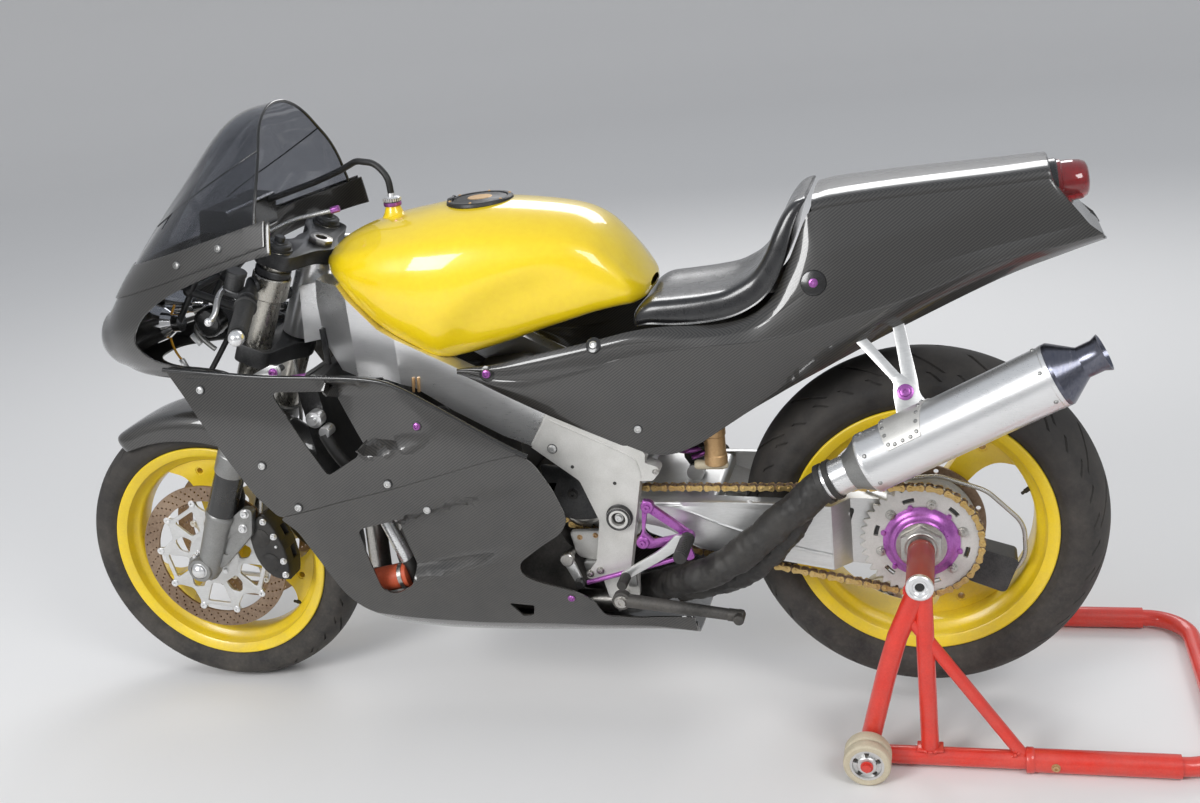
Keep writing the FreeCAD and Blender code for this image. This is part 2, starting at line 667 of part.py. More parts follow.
def bars():
    """Clip on handlebars, their grips, levers and master cylinders."""
    tubes = []
    grips = []
    levers = []
    for side in (-1, 1):
        leg = up(FORK_OFFSET, side * FORK_SPREAD, -58)
        ring = hollow(leg + V(0, 0, -16), leg + V(0, 0, 16), UPPER_LEG_R + 9, UPPER_LEG_R)
        root_end = leg + V(22, side * 30, 0)
        ray = V(-0.36, side * 0.93, -0.04).normalize()
        tip = root_end + ray * 210.0
        tube = rod(root_end - ray * 10, tip, 11.0)
        ball = Part.makeSphere(14.0, tip + ray * 8)
        tubes.append(fuse([ring, tube, ball]).cut(rod(leg + V(0, 0, -40), leg + V(0, 0, 40), UPPER_LEG_R)))
        grips.append(hollow(tip - ray * 118, tip - ray * 6, 16.5, 11.0))
        lever_root = root_end + ray * 58 + V(0, 0, 0)
        perch = fuse([hollow(lever_root - ray * 12, lever_root + ray * 12, 17.0, 11.0),
                      rod(lever_root, lever_root + V(46, 0, 0), 9.0)])
        perch = perch.cut(rod(root_end - ray * 10, tip, 11.0))
        blade = rod(lever_root + V(46, 0, 0) - ray * 8, lever_root + V(50, 0, 0) + ray * 138, 6.0)
        levers.append(fuse([perch, blade]))
    nodes["clip_ons"] = steer(Part.makeCompound(tubes))
    nodes["grips"] = steer(Part.makeCompound(grips))
    nodes["levers"] = steer(Part.makeCompound(levers))


# Frame and engine

JOINT_HIGH = (632.0, 625.0)
JOINT_LOW = (668.0, 560.0)


def frame():
    upper = [(1072, 862), (1011, 860), (933, 784), (802, 717), (707, 666), JOINT_HIGH]
    lower = [JOINT_LOW, (719, 581), (806, 630), (875, 676), (929, 690), (1036, 695), (1092, 761), (1085, 800)]
    side_view = slab(upper + lower, -200, 200)
    band_out = [(1120, 30), (1072, 66), (990, 128), (900, 148), (600, 150)]
    band_in = [(600, 109), (890, 107), (968, 92), (1040, 40), (1068, 20)]
    left = plan(band_out + band_in, 500, 900)
    spars = side_view.common(both(left))
    top = up(0, 0, -CLAMP_THICK / 2.0 - 4)
    low = up(0, 0, -LOWER_CLAMP_DROP + 22)
    head = steer(rod(low, top, HEAD_TUBE_R))
    web = slab([(1110, 850), (1056, 858), (1000, 760), (1120, 740)], -60, 60)
    bore = steer(rod(low + V(0, 0, -5), top + V(0, 0, 5), STEM_R + RUN_CLEAR))
    tabs = [rod(at(TAB_X, side * 130, TAB_Z), at(TAB_X, side * 260, TAB_Z), 7) for side in (-1, 1)]
    whole = fuse(spars.Solids + [head, web] + tabs).cut(bore)
    nodes["frame_spars"] = largest(whole.cut([nodes["side_fairing_left"], nodes["side_fairing_right"]]))


def pivot_plates():
    outline = [JOINT_HIGH, (463, 547, 8), (465, 528, 4), (434, 517, 10), (454, 494, 8), (477, 494), (508, 337, 10),
               (516, 297, 6), (600, 302, 6), (573, 337, 10), (559, 417, 20), (587, 495, 20), JOINT_LOW]
    plate = slab(outline, PLATE_IN, PLATE_OUT)
    lug = rod(at(448, PLATE_IN - 1, 511), at(448, PLATE_OUT + 1, 511), 5.0)
    plate = plate.cut(lug)
    ties = [rod(at(x, -PLATE_IN, z), at(x, PLATE_IN, z), r) for x, z, r in ((508, 520, 14), (538, 325, 12))]
    whole = fuse([plate, mirror_y(plate)] + ties)
    reach = V(0, PLATE_OUT + 12, 0)
    spindle = rod(PIVOT - reach, PIVOT + reach, 22)
    whole = fuse([whole, spindle, stand_bracket()])
    nodes["pivot_plates"] = whole.cut(rod(PIVOT - reach * 2, PIVOT + reach * 2, 13))


def stand_bracket():
    """Plate and pin under the left pivot plate that carry the side stand."""
    bracket = slab([(496, 318, 8), (568, 318, 8), (556, 262, 10), (500, 262, 10)], PLATE_OUT - 12, PLATE_OUT)
    pin = rod(at(STAND_PIVOT_X, PLATE_OUT - 1, STAND_PIVOT_Z), at(STAND_PIVOT_X, STAND_LEG_Y + 10, STAND_PIVOT_Z),
              STAND_PIN_R)
    return fuse([bracket, pin])


def engine():
    cases = slab([(572, 300, 20), (640, 250, 20), (900, 245, 40), (960, 330, 40), (930, 440, 30), (640, 480, 30),
                  (580, 440, 20)], -PLATE_IN, PLATE_IN)
    covers = []
    for x, z, r, y0, y1 in ((880, 360, 74, 125, 172), (700, 390, 62, -168, -125), (870, 360, 58, -160, -125)):
        covers.append(rod(at(x, y0, z), at(x, y1, z), r))
    front = slab([(930, 430, 10), (1000, 400, 20), (1030, 470, 20), (930, 560, 20), (850, 470, 10)], -95, 95)
    rear = slab([(700, 470, 10), (860, 470, 10), (830, 650, 20), (720, 660, 20)], -95, 95)
    heads = fuse([front, rear]).cut(cases)
    pocket = slab([(520, 340), (520, 520), (630, 500, 30), (665, 421, 40), (630, 350, 30)],
                  CHAIN_Y - 14, PLATE_IN + 2)
    nodes["engine"] = fuse([cases] + covers + heads.Solids).cut([nodes["frame_spars"], pocket])


def radiator():
    core = slab([(1060, 700, 6), (1092, 700, 6), (1062, 470, 6), (1030, 470, 6)], -150, 150)
    tanks = [slab([(1056, 706, 8), (1096, 706, 8), (1066, 464, 8), (1026, 464, 8)], y, y + 22)
             for y in (-172, 150)]
    hangers = []
    for side in (-1, 1):
        hangers.append(rod(at(1074, side * 70, 700), at(1074, side * 70, 770), 6))
        hangers.append(rod(at(1046, side * 165, 500), at(1046, side * 260, 500), 6))
    frame_cut = [nodes["frame_spars"], nodes["side_fairing_left"], nodes["side_fairing_right"]]
    nodes["radiator"] = largest(fuse([core] + tanks + hangers).cut(frame_cut))


def exhaust():
    runs = []
    for y in (-60, 60):
        runs.append(pipe([at(1000, y, 440), at(1040, y, 400), at(1040, y * 1.2, 240), at(980, y * 1.2, 222),
                          at(700, y, 208), at(560, 50 + y * 0.4, 214)], 21, 60))
    headers = fuse(runs)
    nodes["exhaust_headers"] = headers.cut(nodes["engine"])
    collect = pipe([at(560, 50, 214), at(476, 96, 258), at(424, 148, 300), at(366, 180, 325), at(306, 185, 362),
                    at(170, 195, 490), at(140, 200, 512)], LINK_PIPE_R + 3, 60)
    nodes["link_pipe"] = collect.cut(nodes["exhaust_headers"])
    start = at(140, 200, 512)
    axis = (at(-268, 225, 724) - start).normalize()
    body = turned_along(start, axis, ((0, 31), (42, 31), (44, 34), (70, SILENCER_R), (400, SILENCER_R),
                                      (440, 26), (468, 24), (476, 30)))
    nodes["silencer"] = body.cut(rod(start + axis * 380, start + axis * 480, 20)).cut(nodes["link_pipe"])


def turned_along(start, axis, profile):
    """Solid turned about any axis from (distance, radius) points."""
    parts = []
    for (d0, r0), (d1, r1) in zip(profile, profile[1:]):
        if abs(r0 - r1) < 1e-6:
            parts.append(rod(start + axis * d0, start + axis * d1, r0))
        else:
            parts.append(cone(start + axis * d0, start + axis * d1, r0, r1))
    return fuse(parts)


# Swingarm and rear suspension

def swingarm():
    side_view = slab([(500, 440, 10), (380, 441, 30), (221, 434, 30), (100, 430, 20), (0, 425, 20), (-30, 310, 20),
                      (60, 298, 20), (159, 312, 20), (283, 336, 30), (328, 338, 30), (390, 352, 30), (462, 402, 20),
                      (500, 400, 10)], -200, 200)
    left = plan([(500, 60), (500, 116), (440, 116), (410, 128), (150, 128), (120, 88), (-60, 88),
                 (-60, 34), (196, 34), (216, 96), (340, 96), (352, 60)], 200, 600)
    arm = side_view.common(left)
    ring = rod(REAR_HUB + V(0, 34, 0), REAR_HUB + V(0, 88, 0), ARM_RING_R)
    tube = rod(PIVOT - V(0, PLATE_IN - 7, 0), PIVOT + V(0, PLATE_IN - 7, 0), 28)
    brace = slab([(500, 440, 6), (352, 438, 10), (352, 405, 10), (500, 402, 6)], -116, 90)
    window = slab([(330, 420, 12), (240, 412, 12), (190, 404, 12), (200, 350, 12), (320, 345, 12)], 118, 140)
    clear = rod(REAR_HUB + V(0, 88.1, 0), REAR_HUB + V(0, 140, 0), pitch_radius(REAR_TEETH) + 14)
    inside_rim = turned([(SEAT_R - 33, -90), (REAR_TYRE_R + 60, -90), (REAR_TYRE_R + 60, REAR_TYRE_HALF + 8),
                         (FLANGE_R - 6, REAR_TYRE_HALF + 8), (FLANGE_R - 6, REAR_RIM_HALF + 7),
                         (SEAT_R - 33, REAR_RIM_HALF + 7)], REAR_HUB)
    arm = arm.cut([clear, inside_rim])
    bore = rod(REAR_HUB + V(0, 20, 0), REAR_HUB + V(0, 95, 0), CARRIER_R)
    ear_z = 440 + SHOCK_EYE_R
    ears = [rod(at(SHOCK_X, y, ear_z), at(SHOCK_X, y + 10, ear_z), 16) for y in (-24, 14)]
    ears.append(rod(at(SHOCK_X, -24, ear_z), at(SHOCK_X, 24, ear_z), 6.0))
    whole = fuse([arm, ring, tube, brace] + ears).cut([bore, window])
    nodes["swingarm"] = whole.cut(rod(PIVOT - V(0, 200, 0), PIVOT + V(0, 200, 0), 22))
    hub = hollow(REAR_HUB + V(0, 32, 0), REAR_HUB + V(0, 92, 0), CARRIER_R, REAR_AXLE_R + RUN_CLEAR)
    bracket = slab([(-58, 330, 10), (-150, 300, 10), (-130, 250, 10), (-40, 290, 10)], 36, 52)
    bracket = bracket.cut(rod(REAR_HUB, REAR_HUB + V(0, 100, 0), ARM_RING_R))
    washer = hollow(REAR_HUB + V(0, 32, 0), REAR_HUB + V(0, 34, 0), ARM_RING_R + 8, CARRIER_R - 2)
    arm_link = fuse([bracket, washer])
    nodes["hub_carrier"] = fuse([hub, arm_link])
    caliper = slab([(-100, 320, 10), (-165, 300, 10), (-140, 235, 10), (-72, 262, 10)], 12, 62)
    slot = rod(REAR_HUB + V(0, REAR_DISC_Y - 9, 0), REAR_HUB + V(0, REAR_DISC_Y + 9, 0), REAR_DISC_R + 6)
    nodes["rear_caliper"] = caliper.cut([slot, nodes["hub_carrier"], rod(REAR_HUB - V(0, 5, 0), REAR_HUB + V(
        0, REAR_DISC_Y - 9, 0), 70)])


def shock():
    """Rear damper between an ear on the swingarm and the subframe's cross tube."""
    low = at(SHOCK_X, 0, 440 + SHOCK_EYE_R)
    high = at(CROSS_X, 0, CROSS_Z)
    axis = (high - low).normalize()
    gap = (high - low).Length
    profile = ((0, 12), (16, 12), (18, 27), (gap - 48, 27), (gap - 46, 18), (gap - 26, 14))
    body = turned_along(low + axis * 12, axis, profile)
    eyes = [rod(low - V(0, 13, 0), low + V(0, 13, 0), SHOCK_EYE_R),
            rod(high - V(0, 13, 0), high + V(0, 13, 0), CROSS_R + 6)]
    can = rod(at(366, 58, 476), at(374, 58, 566), 24)
    tie = rod(at(371, 58, 530), low + axis * (gap * 0.55), 8)
    whole = fuse([body, can, tie] + eyes)
    nodes["rear_shock"] = whole.cut([rod(high - V(0, 40, 0), high + V(0, 40, 0), CROSS_R + RUN_CLEAR),
                                     rod(low - V(0, 40, 0), low + V(0, 40, 0), 6.0 + RUN_CLEAR)])


# Bodywork

TANK = (
    # x, floor, half floor, half waist, waist, half shoulder, shoulder, top
    (462, 796, 60, 86, 812, 66, 826, 836),
    (520, 792, 95, 118, 850, 84, 900, 919),
    (600, 772, 110, 142, 862, 104, 936, 962),
    (720, 738, 120, 160, 864, 118, 950, 979),
    (811, 722, 128, 166, 860, 122, 948, 977),
    (925, 774, 118, 152, 868, 108, 938, 963),
    (990, 830, 88, 122, 880, 88, 924, 944),
    (1028, 868, 52, 78, 890, 56, 912, 924),
)


def tank():
    body = crowned(TANK)
    knee = slab([(819, 700), (819, 789, 20), (774, 841, 30), (714, 874, 60), (640, 897, 60), (569, 905, 30),
                 (440, 880), (440, 700)], 128, 220)
    body = body.cut([knee, mirror_y(knee)])
    filler_x = FILLER_X
    seat_z = 974.0
    body = body.cut(rod(at(filler_x, 0, seat_z), at(filler_x, 0, seat_z + 40), 62))
    body = body.cut(rod(at(filler_x, 0, seat_z - 40), at(filler_x, 0, seat_z + 1), 22))
    neck = cone(at(925, 0, 958), at(925, 0, 978), 17, 13)
    body = fuse([body, neck])
    spars = nodes["frame_spars"]
    nodes["fuel_tank"] = body
    nodes["frame_spars"] = largest(spars.cut(body))
    centre = at(filler_x, 0, seat_z)
    ring = hollow(centre, centre + V(0, 0, 6), FILLER_RING_R, 22)
    ring = ring.cut(rod(centre + V(0, 0, 3), centre + V(0, 0, 8), LID_R + 1.0))
    hinge = centre + V(LID_R + 4.0, 0, 9.5)
    lugs = [Part.makeBox(8, 5, 9.5, hinge + V(-4, y, -6.5)) for y in (-14.3, 9.3)]
    pin = rod(hinge - V(0, 14, 0), hinge + V(0, 14, 0), 1.5)
    nodes["filler_ring"] = fuse([ring, pin] + lugs)
    lid = rod(centre + V(0, 0, 3.3), centre + V(0, 0, 9), LID_R)
    ear = Part.makeBox(12, 18, 5.6, hinge + V(-12, -9, -2.8))
    knuckle = rod(hinge - V(0, 9, 0), hinge + V(0, 9, 0), 2.8)
    lid = fuse([lid, ear, knuckle])
    nodes["filler_lid"] = lid.cut(rod(hinge - V(0, 20, 0), hinge + V(0, 20, 0), 1.5 + RUN_CLEAR))
    cap = rod(at(925, 0, 978), at(925, 0, 992), 16)
    nipple = rod(at(925, 0, 992), at(925, 0, 1002), 5)
    nodes["breather_hose"] = fuse([cap, nipple, breather()])


def breather():
    """Vent hose from the tank cap over to the instrument bracket."""
    return pipe([at(925, 0, 1000), at(926, 0, 1030), at(950, -6, 1056), at(992, -20, 1060),
                 at(1040, -44, 1040), at(1100, -60, 1020), at(1210, -70, 990)], 6, 40)


TAIL = (
    # x, floor, half floor, half waist, waist, half shoulder, shoulder, top
    (440, 562, 118, 152, 690, 140, 760, 768),
    (330, 584, 116, 151, 690, 138, 760, 768),
    (214, 650, 110, 146, 720, 132, 796, 806),
    (190, 664, 108, 145, 780, 112, 930, 952),
    (150, 684, 105, 142, 810, 104, 952, 978),
    (20, 744, 92, 130, 850, 92, 962, 988),
    (-130, 814, 74, 112, 888, 78, 970, 994),
    (-210, 850, 62, 98, 906, 66, 972, 992),
    (-284, 886, 50, 82, 930, 54, 962, 976),
)


def tail():
    whole = crowned(TAIL, 0.0, True)
    shell = whole.cut(crowned(TAIL, PANEL_WALL, True))
    shell = shell.cut(slab([(450, 540), (450, 590), (330, 600), (150, 700), (20, 760), (-130, 830), (-286, 902),
                            (-286, 860), (-130, 800), (20, 730), (200, 560)], -96, 96))
    shell = shell.cut(block(430, 450, -200, 200, 500, 800))
    wing_line = [(434, 770), (524, 755), (597, 741), (711, 711), (783, 703, 4), (714, 664), (636, 625), (541, 580),
                 (472, 551), (402, 537, 20), (340, 570), (340, 762)]
    wing_y = PLATE_OUT + 2.0
    wing = slab(wing_line, wing_y, wing_y + PANEL_WALL)
    tie = slab([(434, 756), (344, 752), (344, 600), (434, 590)], 130, wing_y + 1).cut(whole)
    sides = [wing, tie]
    nodes["seat_cowl"] = largest(fuse(shell.Solids + sides + [mirror_y(piece) for piece in sides]))
    seat = slab([(444, 786, 8), (367, 812, 30), (240, 868, 30), (200, 940, 10), (180, 940), (180, 700), (444, 700)],
                -124, 124)
    nodes["seat_pad"] = largest(seat.cut([whole, nodes["fuel_tank"]]))
    rails = []
    for side in (-1, 1):
        rails.append(pipe([at(640, side * 120, 606), at(420, side * 112, 640), at(100, side * 82, 770),
                           at(-180, side * 52, 900)], 11, 80))
    cross = rod(at(CROSS_X, -160, CROSS_Z), at(CROSS_X, 160, CROSS_Z), CROSS_R)
    end = rod(at(-170, -110, 895), at(-170, 110, 895), 9)
    frame_parts = [nodes["frame_spars"], nodes["pivot_plates"], nodes["seat_cowl"]]
    nodes["subframe"] = largest(fuse(rails + [cross, end]).cut(frame_parts))
    inside = crowned(TAIL, PANEL_WALL + 0.2, True)
    nodes["tail_light"] = inside.common(block(-284, -258, -200, 200, 850, 1000))


NOSE = (
    # x, floor, half floor, half waist, waist, half shoulder, shoulder, top
    (1536, 742, 40, 76, 764, 40, 784, 792),
    (1480, 722, 90, 140, 790, 84, 842, 862),
    (1414, 716, 130, 176, 830, 96, 918, 950),
    (1300, 722, 160, 198, 900, 104, 1030, 1068),
    (1207, 760, 168, 204, 940, 112, 1104, 1158),
    (1080, 800, 170, 206, 980, 120, 1120, 1178),
)


def nose():
    shell = crowned(NOSE).cut(crowned(NOSE, PANEL_WALL))
    shell = shell.cut(block(1060, 1084, -260, 260, 600, 1300))
    split = [(1440, 905), (1075, 1000), (1000, 1000), (1000, 1300), (1600, 1300), (1600, 905)]
    above = slab(split, -260, 260)
    low_gap = slab([(1395, 745), (1366, 860, 20), (1292, 913), (1184, 942), (1070, 966), (1000, 966), (1000, 600),
                    (1395, 600)], -260, 260)
    glass = shell.common(above)
    cowl = shell.cut([above, low_gap])
    nodes["windscreen"] = largest(glass.cut(slab([(1000, 1300), (1000, 900), (1090, 1000), (1120, 1120), (1180, 1300)],
                                                 -260, 260)))
    nodes["nose_cowl"] = largest(cowl)
    lamps = []
    for side in (-1, 1):
        lamp = turned_along(at(1478, side * LAMP_Y, LAMP_Z), V(-1, 0, 0),
                            ((0, 48), (30, 48), (80, 30), (96, 18), (110, 18)))
        lamps.append(lamp)
    nodes["headlights"] = Part.makeCompound(lamps).cut(nodes["nose_cowl"])
    stay = []
    for side in (-1, 1):
        stay.append(pipe([at(1136, side * 16, 830), at(1250, side * 30, 800), at(1340, side * 60, 850)], 8, 40))
        stay.append(rod(at(1336, side * 60, 846), at(1374, side * LAMP_Y, LAMP_Z), 6))
        stay.append(rod(at(1338, side * 60, 848), at(1250, side * 60, 960), 7))
        stay.append(rod(at(1338, side * 60, 844), at(1346, side * 60, 902), 5.5))
        stay.append(Part.makeSphere(11, at(1340, side * 60, 850)))
    stay.append(rod(at(1340, -64, 850), at(1340, 64, 850), 6.5))
    cross = rod(at(1346, -240, 902), at(1346, 240, 902), 8)
    head = steer(rod(up(0, 0, -LOWER_CLAMP_DROP), up(0, 0, 0), HEAD_TUBE_R - 1))
    cutters = [nodes["frame_spars"], nodes["headlights"], head, nodes["nose_cowl"]]
    nodes["fairing_stay"] = largest(fuse(stay + [cross]).cut(cutters))
    panel = slab([(1212, 940, 8), (1276, 930, 8), (1262, 1010, 8), (1206, 1002, 8)], -95, 95)
    nodes["instruments"] = panel.cut(nodes["fairing_stay"])
    nodes["breather_hose"] = nodes["breather_hose"].cut(nodes["instruments"])


SIDE = (
    # x, low z, half width low, middle z, half width middle, high z, half width high
    (585, 250, 188, 440, 232, 620, 214),
    (800, 240, 196, 470, 244, 760, 216),
    (1060, 240, 198, 480, 246, 770, 222),
    (1335, 250, 170, 500, 226, 780, 214),
)


def side_fairing():
    wires = []
    for x, low, w_low, mid, w_mid, high, w_high in SIDE:
        wires.append(Part.Wire([
            Part.Arc(at(x, w_low, low), at(x, w_mid, mid), at(x, w_high, high)).toShape(),
            Part.LineSegment(at(x, w_high, high), at(x, w_high - PANEL_WALL, high)).toShape(),
            Part.Arc(at(x, w_high - PANEL_WALL, high), at(x, w_mid - PANEL_WALL, mid),
                     at(x, w_low - PANEL_WALL, low)).toShape(),
            Part.LineSegment(at(x, w_low - PANEL_WALL, low), at(x, w_low, low)).toShape(),
        ]))
    band = loft(wires)
    outline = [(1320, 744, 20), (1142, 733), (915, 720, 30), (854, 695, 60), (763, 628), (662, 568, 30), (615, 515, 30),
               (592, 458, 16), (608, 430, 10), (665, 410, 10), (659, 331, 10), (1000, 285, 10), (1070, 346, 60),
               (1119, 408), (1200, 509), (1276, 629)]
    panel = band.common(slab(outline, 150, 300))
    for hole in (((1109, 704, 30), (994, 698, 20), (954, 584, 20), (1032, 552, 30)),
                 ((979, 442, 20), (866, 448, 14), (861, 359, 20), (917, 314, 20), (969, 296, 16))):
        panel = panel.cut(slab(hole, 150, 300))
    nodes["side_fairing_left"] = panel
    nodes["side_fairing_right"] = mirror_y(panel)


BELLY = (
    # x, top z, half floor, floor z
    (400, 262, 90, 176),
    (560, 290, 100, 170),
    (640, 331, 104, 168),
    (860, 304, 108, 168),
    (1012, 283.4, 96, 184),
)
BELLY_TAIL_HALF = 138.0


def side_half(x, z):
    """Half width of the side panel's outer face at a place on it."""
    rows = [row for row in SIDE if row[0] <= x]
    first = rows[-1] if rows else SIDE[0]
    second = SIDE[min(SIDE.index(first) + 1, len(SIDE) - 1)]
    share = 0.0 if second is first else (x - first[0]) / (second[0] - first[0])
    low, w_low, mid, w_mid, high, w_high = [a + (b - a) * share for a, b in zip(first[1:], second[1:])]
    circle = Part.Arc(V(0, w_low, low), V(0, w_mid, mid), V(0, w_high, high)).toShape().Curve
    return circle.Center.y + math.sqrt(circle.Radius ** 2 - (z - circle.Center.z) ** 2)


def belly_section(x, top, half_floor, floor, inset):
    blend = min(1.0, (x - BELLY[0][0]) / (BELLY[2][0] - BELLY[0][0]))
    half = BELLY_TAIL_HALF * (1.0 - blend) + side_half(x, top) * blend
    points = []
    for offset in (0.0, inset):
        points.append([(half - offset, top), (half - offset - 8, top - 44), (half_floor, floor + offset)])
    outer, inner = points
    left_out = [at(x, y, z) for y, z in outer]
    left_in = [at(x, y, z) for y, z in inner]
    right_out = [at(x, -y, z) for y, z in outer]
    right_in = [at(x, -y, z) for y, z in inner]
    ring = left_out + right_out[::-1] + right_in + left_in[::-1]
    return Part.makePolygon(ring + [ring[0]])


def belly():
    body = loft([belly_section(x, top, half_floor, floor, PANEL_WALL)
                 for x, top, half_floor, floor in BELLY], True)
    outline = [(402, 225), (396, 250, 10), (500, 254, 20), (575, 272, 20), (615, 301, 20), (659, 332), (659, 331),
               (1000, 285), (1012, 263, 10), (986, 236, 20), (960, 160), (402, 160)]
    body = body.common(slab(outline, -260, 260))
    nodes["belly_pan"] = body.cut([nodes["side_fairing_left"], nodes["side_fairing_right"]])


# Stands and rider controls

def silencer_hanger():
    """Forked plate from the silencer's foot up to the tail, leaning in over the wheel."""
    bolt = at(16, 166, 652)
    fork_plate = slab([(44, 634, 4), (-20, 604, 4), (-12, 655, 8), (-16, 700), (-20, 810), (0, 810), (4, 700),
                       (10, 684, 5), (30, 694), (68, 810), (92, 810), (52, 700)], bolt.y - 2, bolt.y + 2)
    fork_plate = fork_plate.fuse(rod(bolt - V(0, 2, 0), bolt + V(0, 8, 0), 8))
    fork_plate.rotate(bolt, V(1, 0, 0), HANGER_LEAN)
    nodes["silencer_hanger"] = largest(fork_plate.cut([nodes["silencer"], nodes["seat_cowl"]]))


def rearsets():
    outline = [(474, 466, 8), (386, 394, 8), (470, 374, 8), (514, 380, 8), (498, 458, 8)]
    plate = slab(outline, 158, 168)
    plate = plate.cut(slab([(466, 440, 5), (416, 400, 5), (468, 388, 5), (492, 392, 5), (482, 440, 5)], 150, 180))
    post = rod(at(492, PLATE_OUT, 450), at(492, 159, 450), 7)
    post2 = rod(at(505, PLATE_OUT, 388), at(505, 159, 388), 6)
    left = fuse([plate.cut(rod(PIVOT, PIVOT + V(0, 300, 0), 24)), post, post2])
    peg = rod(at(398, 168, 392), at(398, 250, 388), 9)
    lever = slab([(424, 402, 6), (402, 398, 6), (400, 384, 6), (556, 312, 4), (574, 318, 4), (572, 328, 4)],
                 GEAR_LEVER_Y, GEAR_LEVER_Y + 8)
    toe = rod(at(566, GEAR_LEVER_Y + 4, 319), at(566, GEAR_LEVER_Y + 44, 319), 9)
    boss = rod(at(411, 168, 392), at(411, GEAR_LEVER_Y + 8, 392), 9)
    pedal = fuse([left, peg, lever, toe, boss])
    arm = slab([(424, 398, 4), (402, 398, 4), (389, 352, 5), (403, 350, 5)], 168, GEAR_LEVER_Y)
    shift = rod(at(396, 170, 358), at(604, 170, 300), 4)
    crank = slab([(596, 294, 5), (612, 296, 5), (632, 344, 7), (616, 350, 7)], 162, 170)
    shaft = rod(at(623, 168, 343), at(623, 90, 343), 7)
    shaft = largest(shaft.cut([nodes["engine"], nodes["frame_spars"], nodes["pivot_plates"]]))
    nodes["rearsets"] = Part.makeCompound([fuse([pedal, arm, shift, crank, shaft]), mirror_y(pedal)])


def side_stand():
    """Folded side stand: the leg lies back along the bike from its bracket at the frame."""
    pivot = at(STAND_PIVOT_X, STAND_LEG_Y, STAND_PIVOT_Z)
    tip = pivot + V(-STAND_LEG, 4, -STAND_LEG_DROP)
    eye = rod(pivot - V(0, 8, 0), pivot + V(0, 8, 0), 17)
    leg = rod(pivot - V(8, 0, 1), tip, 8)
    foot = rod(tip - V(0, 9, 0), tip + V(0, 20, 0), 10)
    hole = rod(pivot - V(0, 30, 0), pivot + V(0, 30, 0), STAND_PIN_R + RUN_CLEAR)
    nodes["side_stand"] = fuse([eye, leg, foot]).cut(hole)


def stand():
    """Tubular stand: a pin in the hollow axle, a wide floor loop and four small wheels."""
    y = STAND_BAR_Y
    back = -STAND_REACH + STAND_TUBE_R
    loop_points = [ground(60, y, STAND_BAR_Z), ground(back, y, STAND_BAR_Z), ground(back, -y, STAND_BAR_Z),
                   ground(110, -y, STAND_BAR_Z)]
    loop = pipe(loop_points, STAND_TUBE_R, 75)
    leg1 = pipe([at(8, y, 330), at(40, y, 250), at(60, y, 180), ground(92, y, STAND_BAR_Z + 30)], 17, 60)
    leg2 = rod(at(-4, y, 340), ground(-8, y, STAND_BAR_Z + 2), 15)
    brace = rod(at(22, y, 290), ground(-163, y, STAND_BAR_Z + 4), 11)
    front_foot = rod(ground(60, y, STAND_BAR_Z), ground(120, y, STAND_BAR_Z), STAND_TUBE_R)
    sleeve_start = REAR_HUB + V(0, 146, 0)
    sleeve_end = REAR_HUB + V(0, STAND_SLEEVE_END, 0)
    sleeve = rod(sleeve_start, sleeve_end, STAND_SLEEVE_R)
    legs = fuse([loop, leg1, leg2, brace, front_foot]).cut(sleeve)
    axle_pins = []
    for side in (-1, 1):
        axle_pins.append(rod(ground(STAND_WHEEL_X, side * y, STAND_WHEEL_R),
                             ground(STAND_WHEEL_X, side * 322, STAND_WHEEL_R), 7))
    legs = fuse([legs] + axle_pins)
    pin = rod(REAR_HUB + V(0, 60, 0), sleeve_start, REAR_AXLE_BORE_R - 0.1)
    cap = hollow(sleeve_end, sleeve_end + V(0, 5, 0), STAND_SLEEVE_R - 2, 8)
    nodes["stand_sleeve"] = fuse([sleeve, pin, cap]).cut(rod(sleeve_end - V(0, 20, 0), sleeve_end + V(0, 9, 0), 8))
    grips = []
    for side in (-1, 1):
        start = ground(-170, side * y, STAND_BAR_Z)
        end = ground(back + 80, side * y, STAND_BAR_Z)
        grips.append(hollow(start, end, STAND_TUBE_R + 4, STAND_TUBE_R))
    nodes["stand_frame"] = fuse([legs] + grips)
    for side, name in ((1, "stand_wheel_left"), (-1, "stand_wheel_right")):
        centre = ground(STAND_WHEEL_X, 0, STAND_WHEEL_R)
        rings = []
        for y0 in (272, 298):
            rings.append(turned([(7 + RUN_CLEAR, y0), (STAND_WHEEL_R - 3, y0), (STAND_WHEEL_R, y0 + 4),
                                 (STAND_WHEEL_R, y0 + 18), (STAND_WHEEL_R - 3, y0 + 22), (7 + RUN_CLEAR, y0 + 22)],
                                centre))
        link = hollow(centre + V(0, 272, 0), centre + V(0, 320, 0), 16, 7 + RUN_CLEAR)
        pair = fuse(rings + [link])
        nodes[name] = pair if side > 0 else mirror_y(pair)


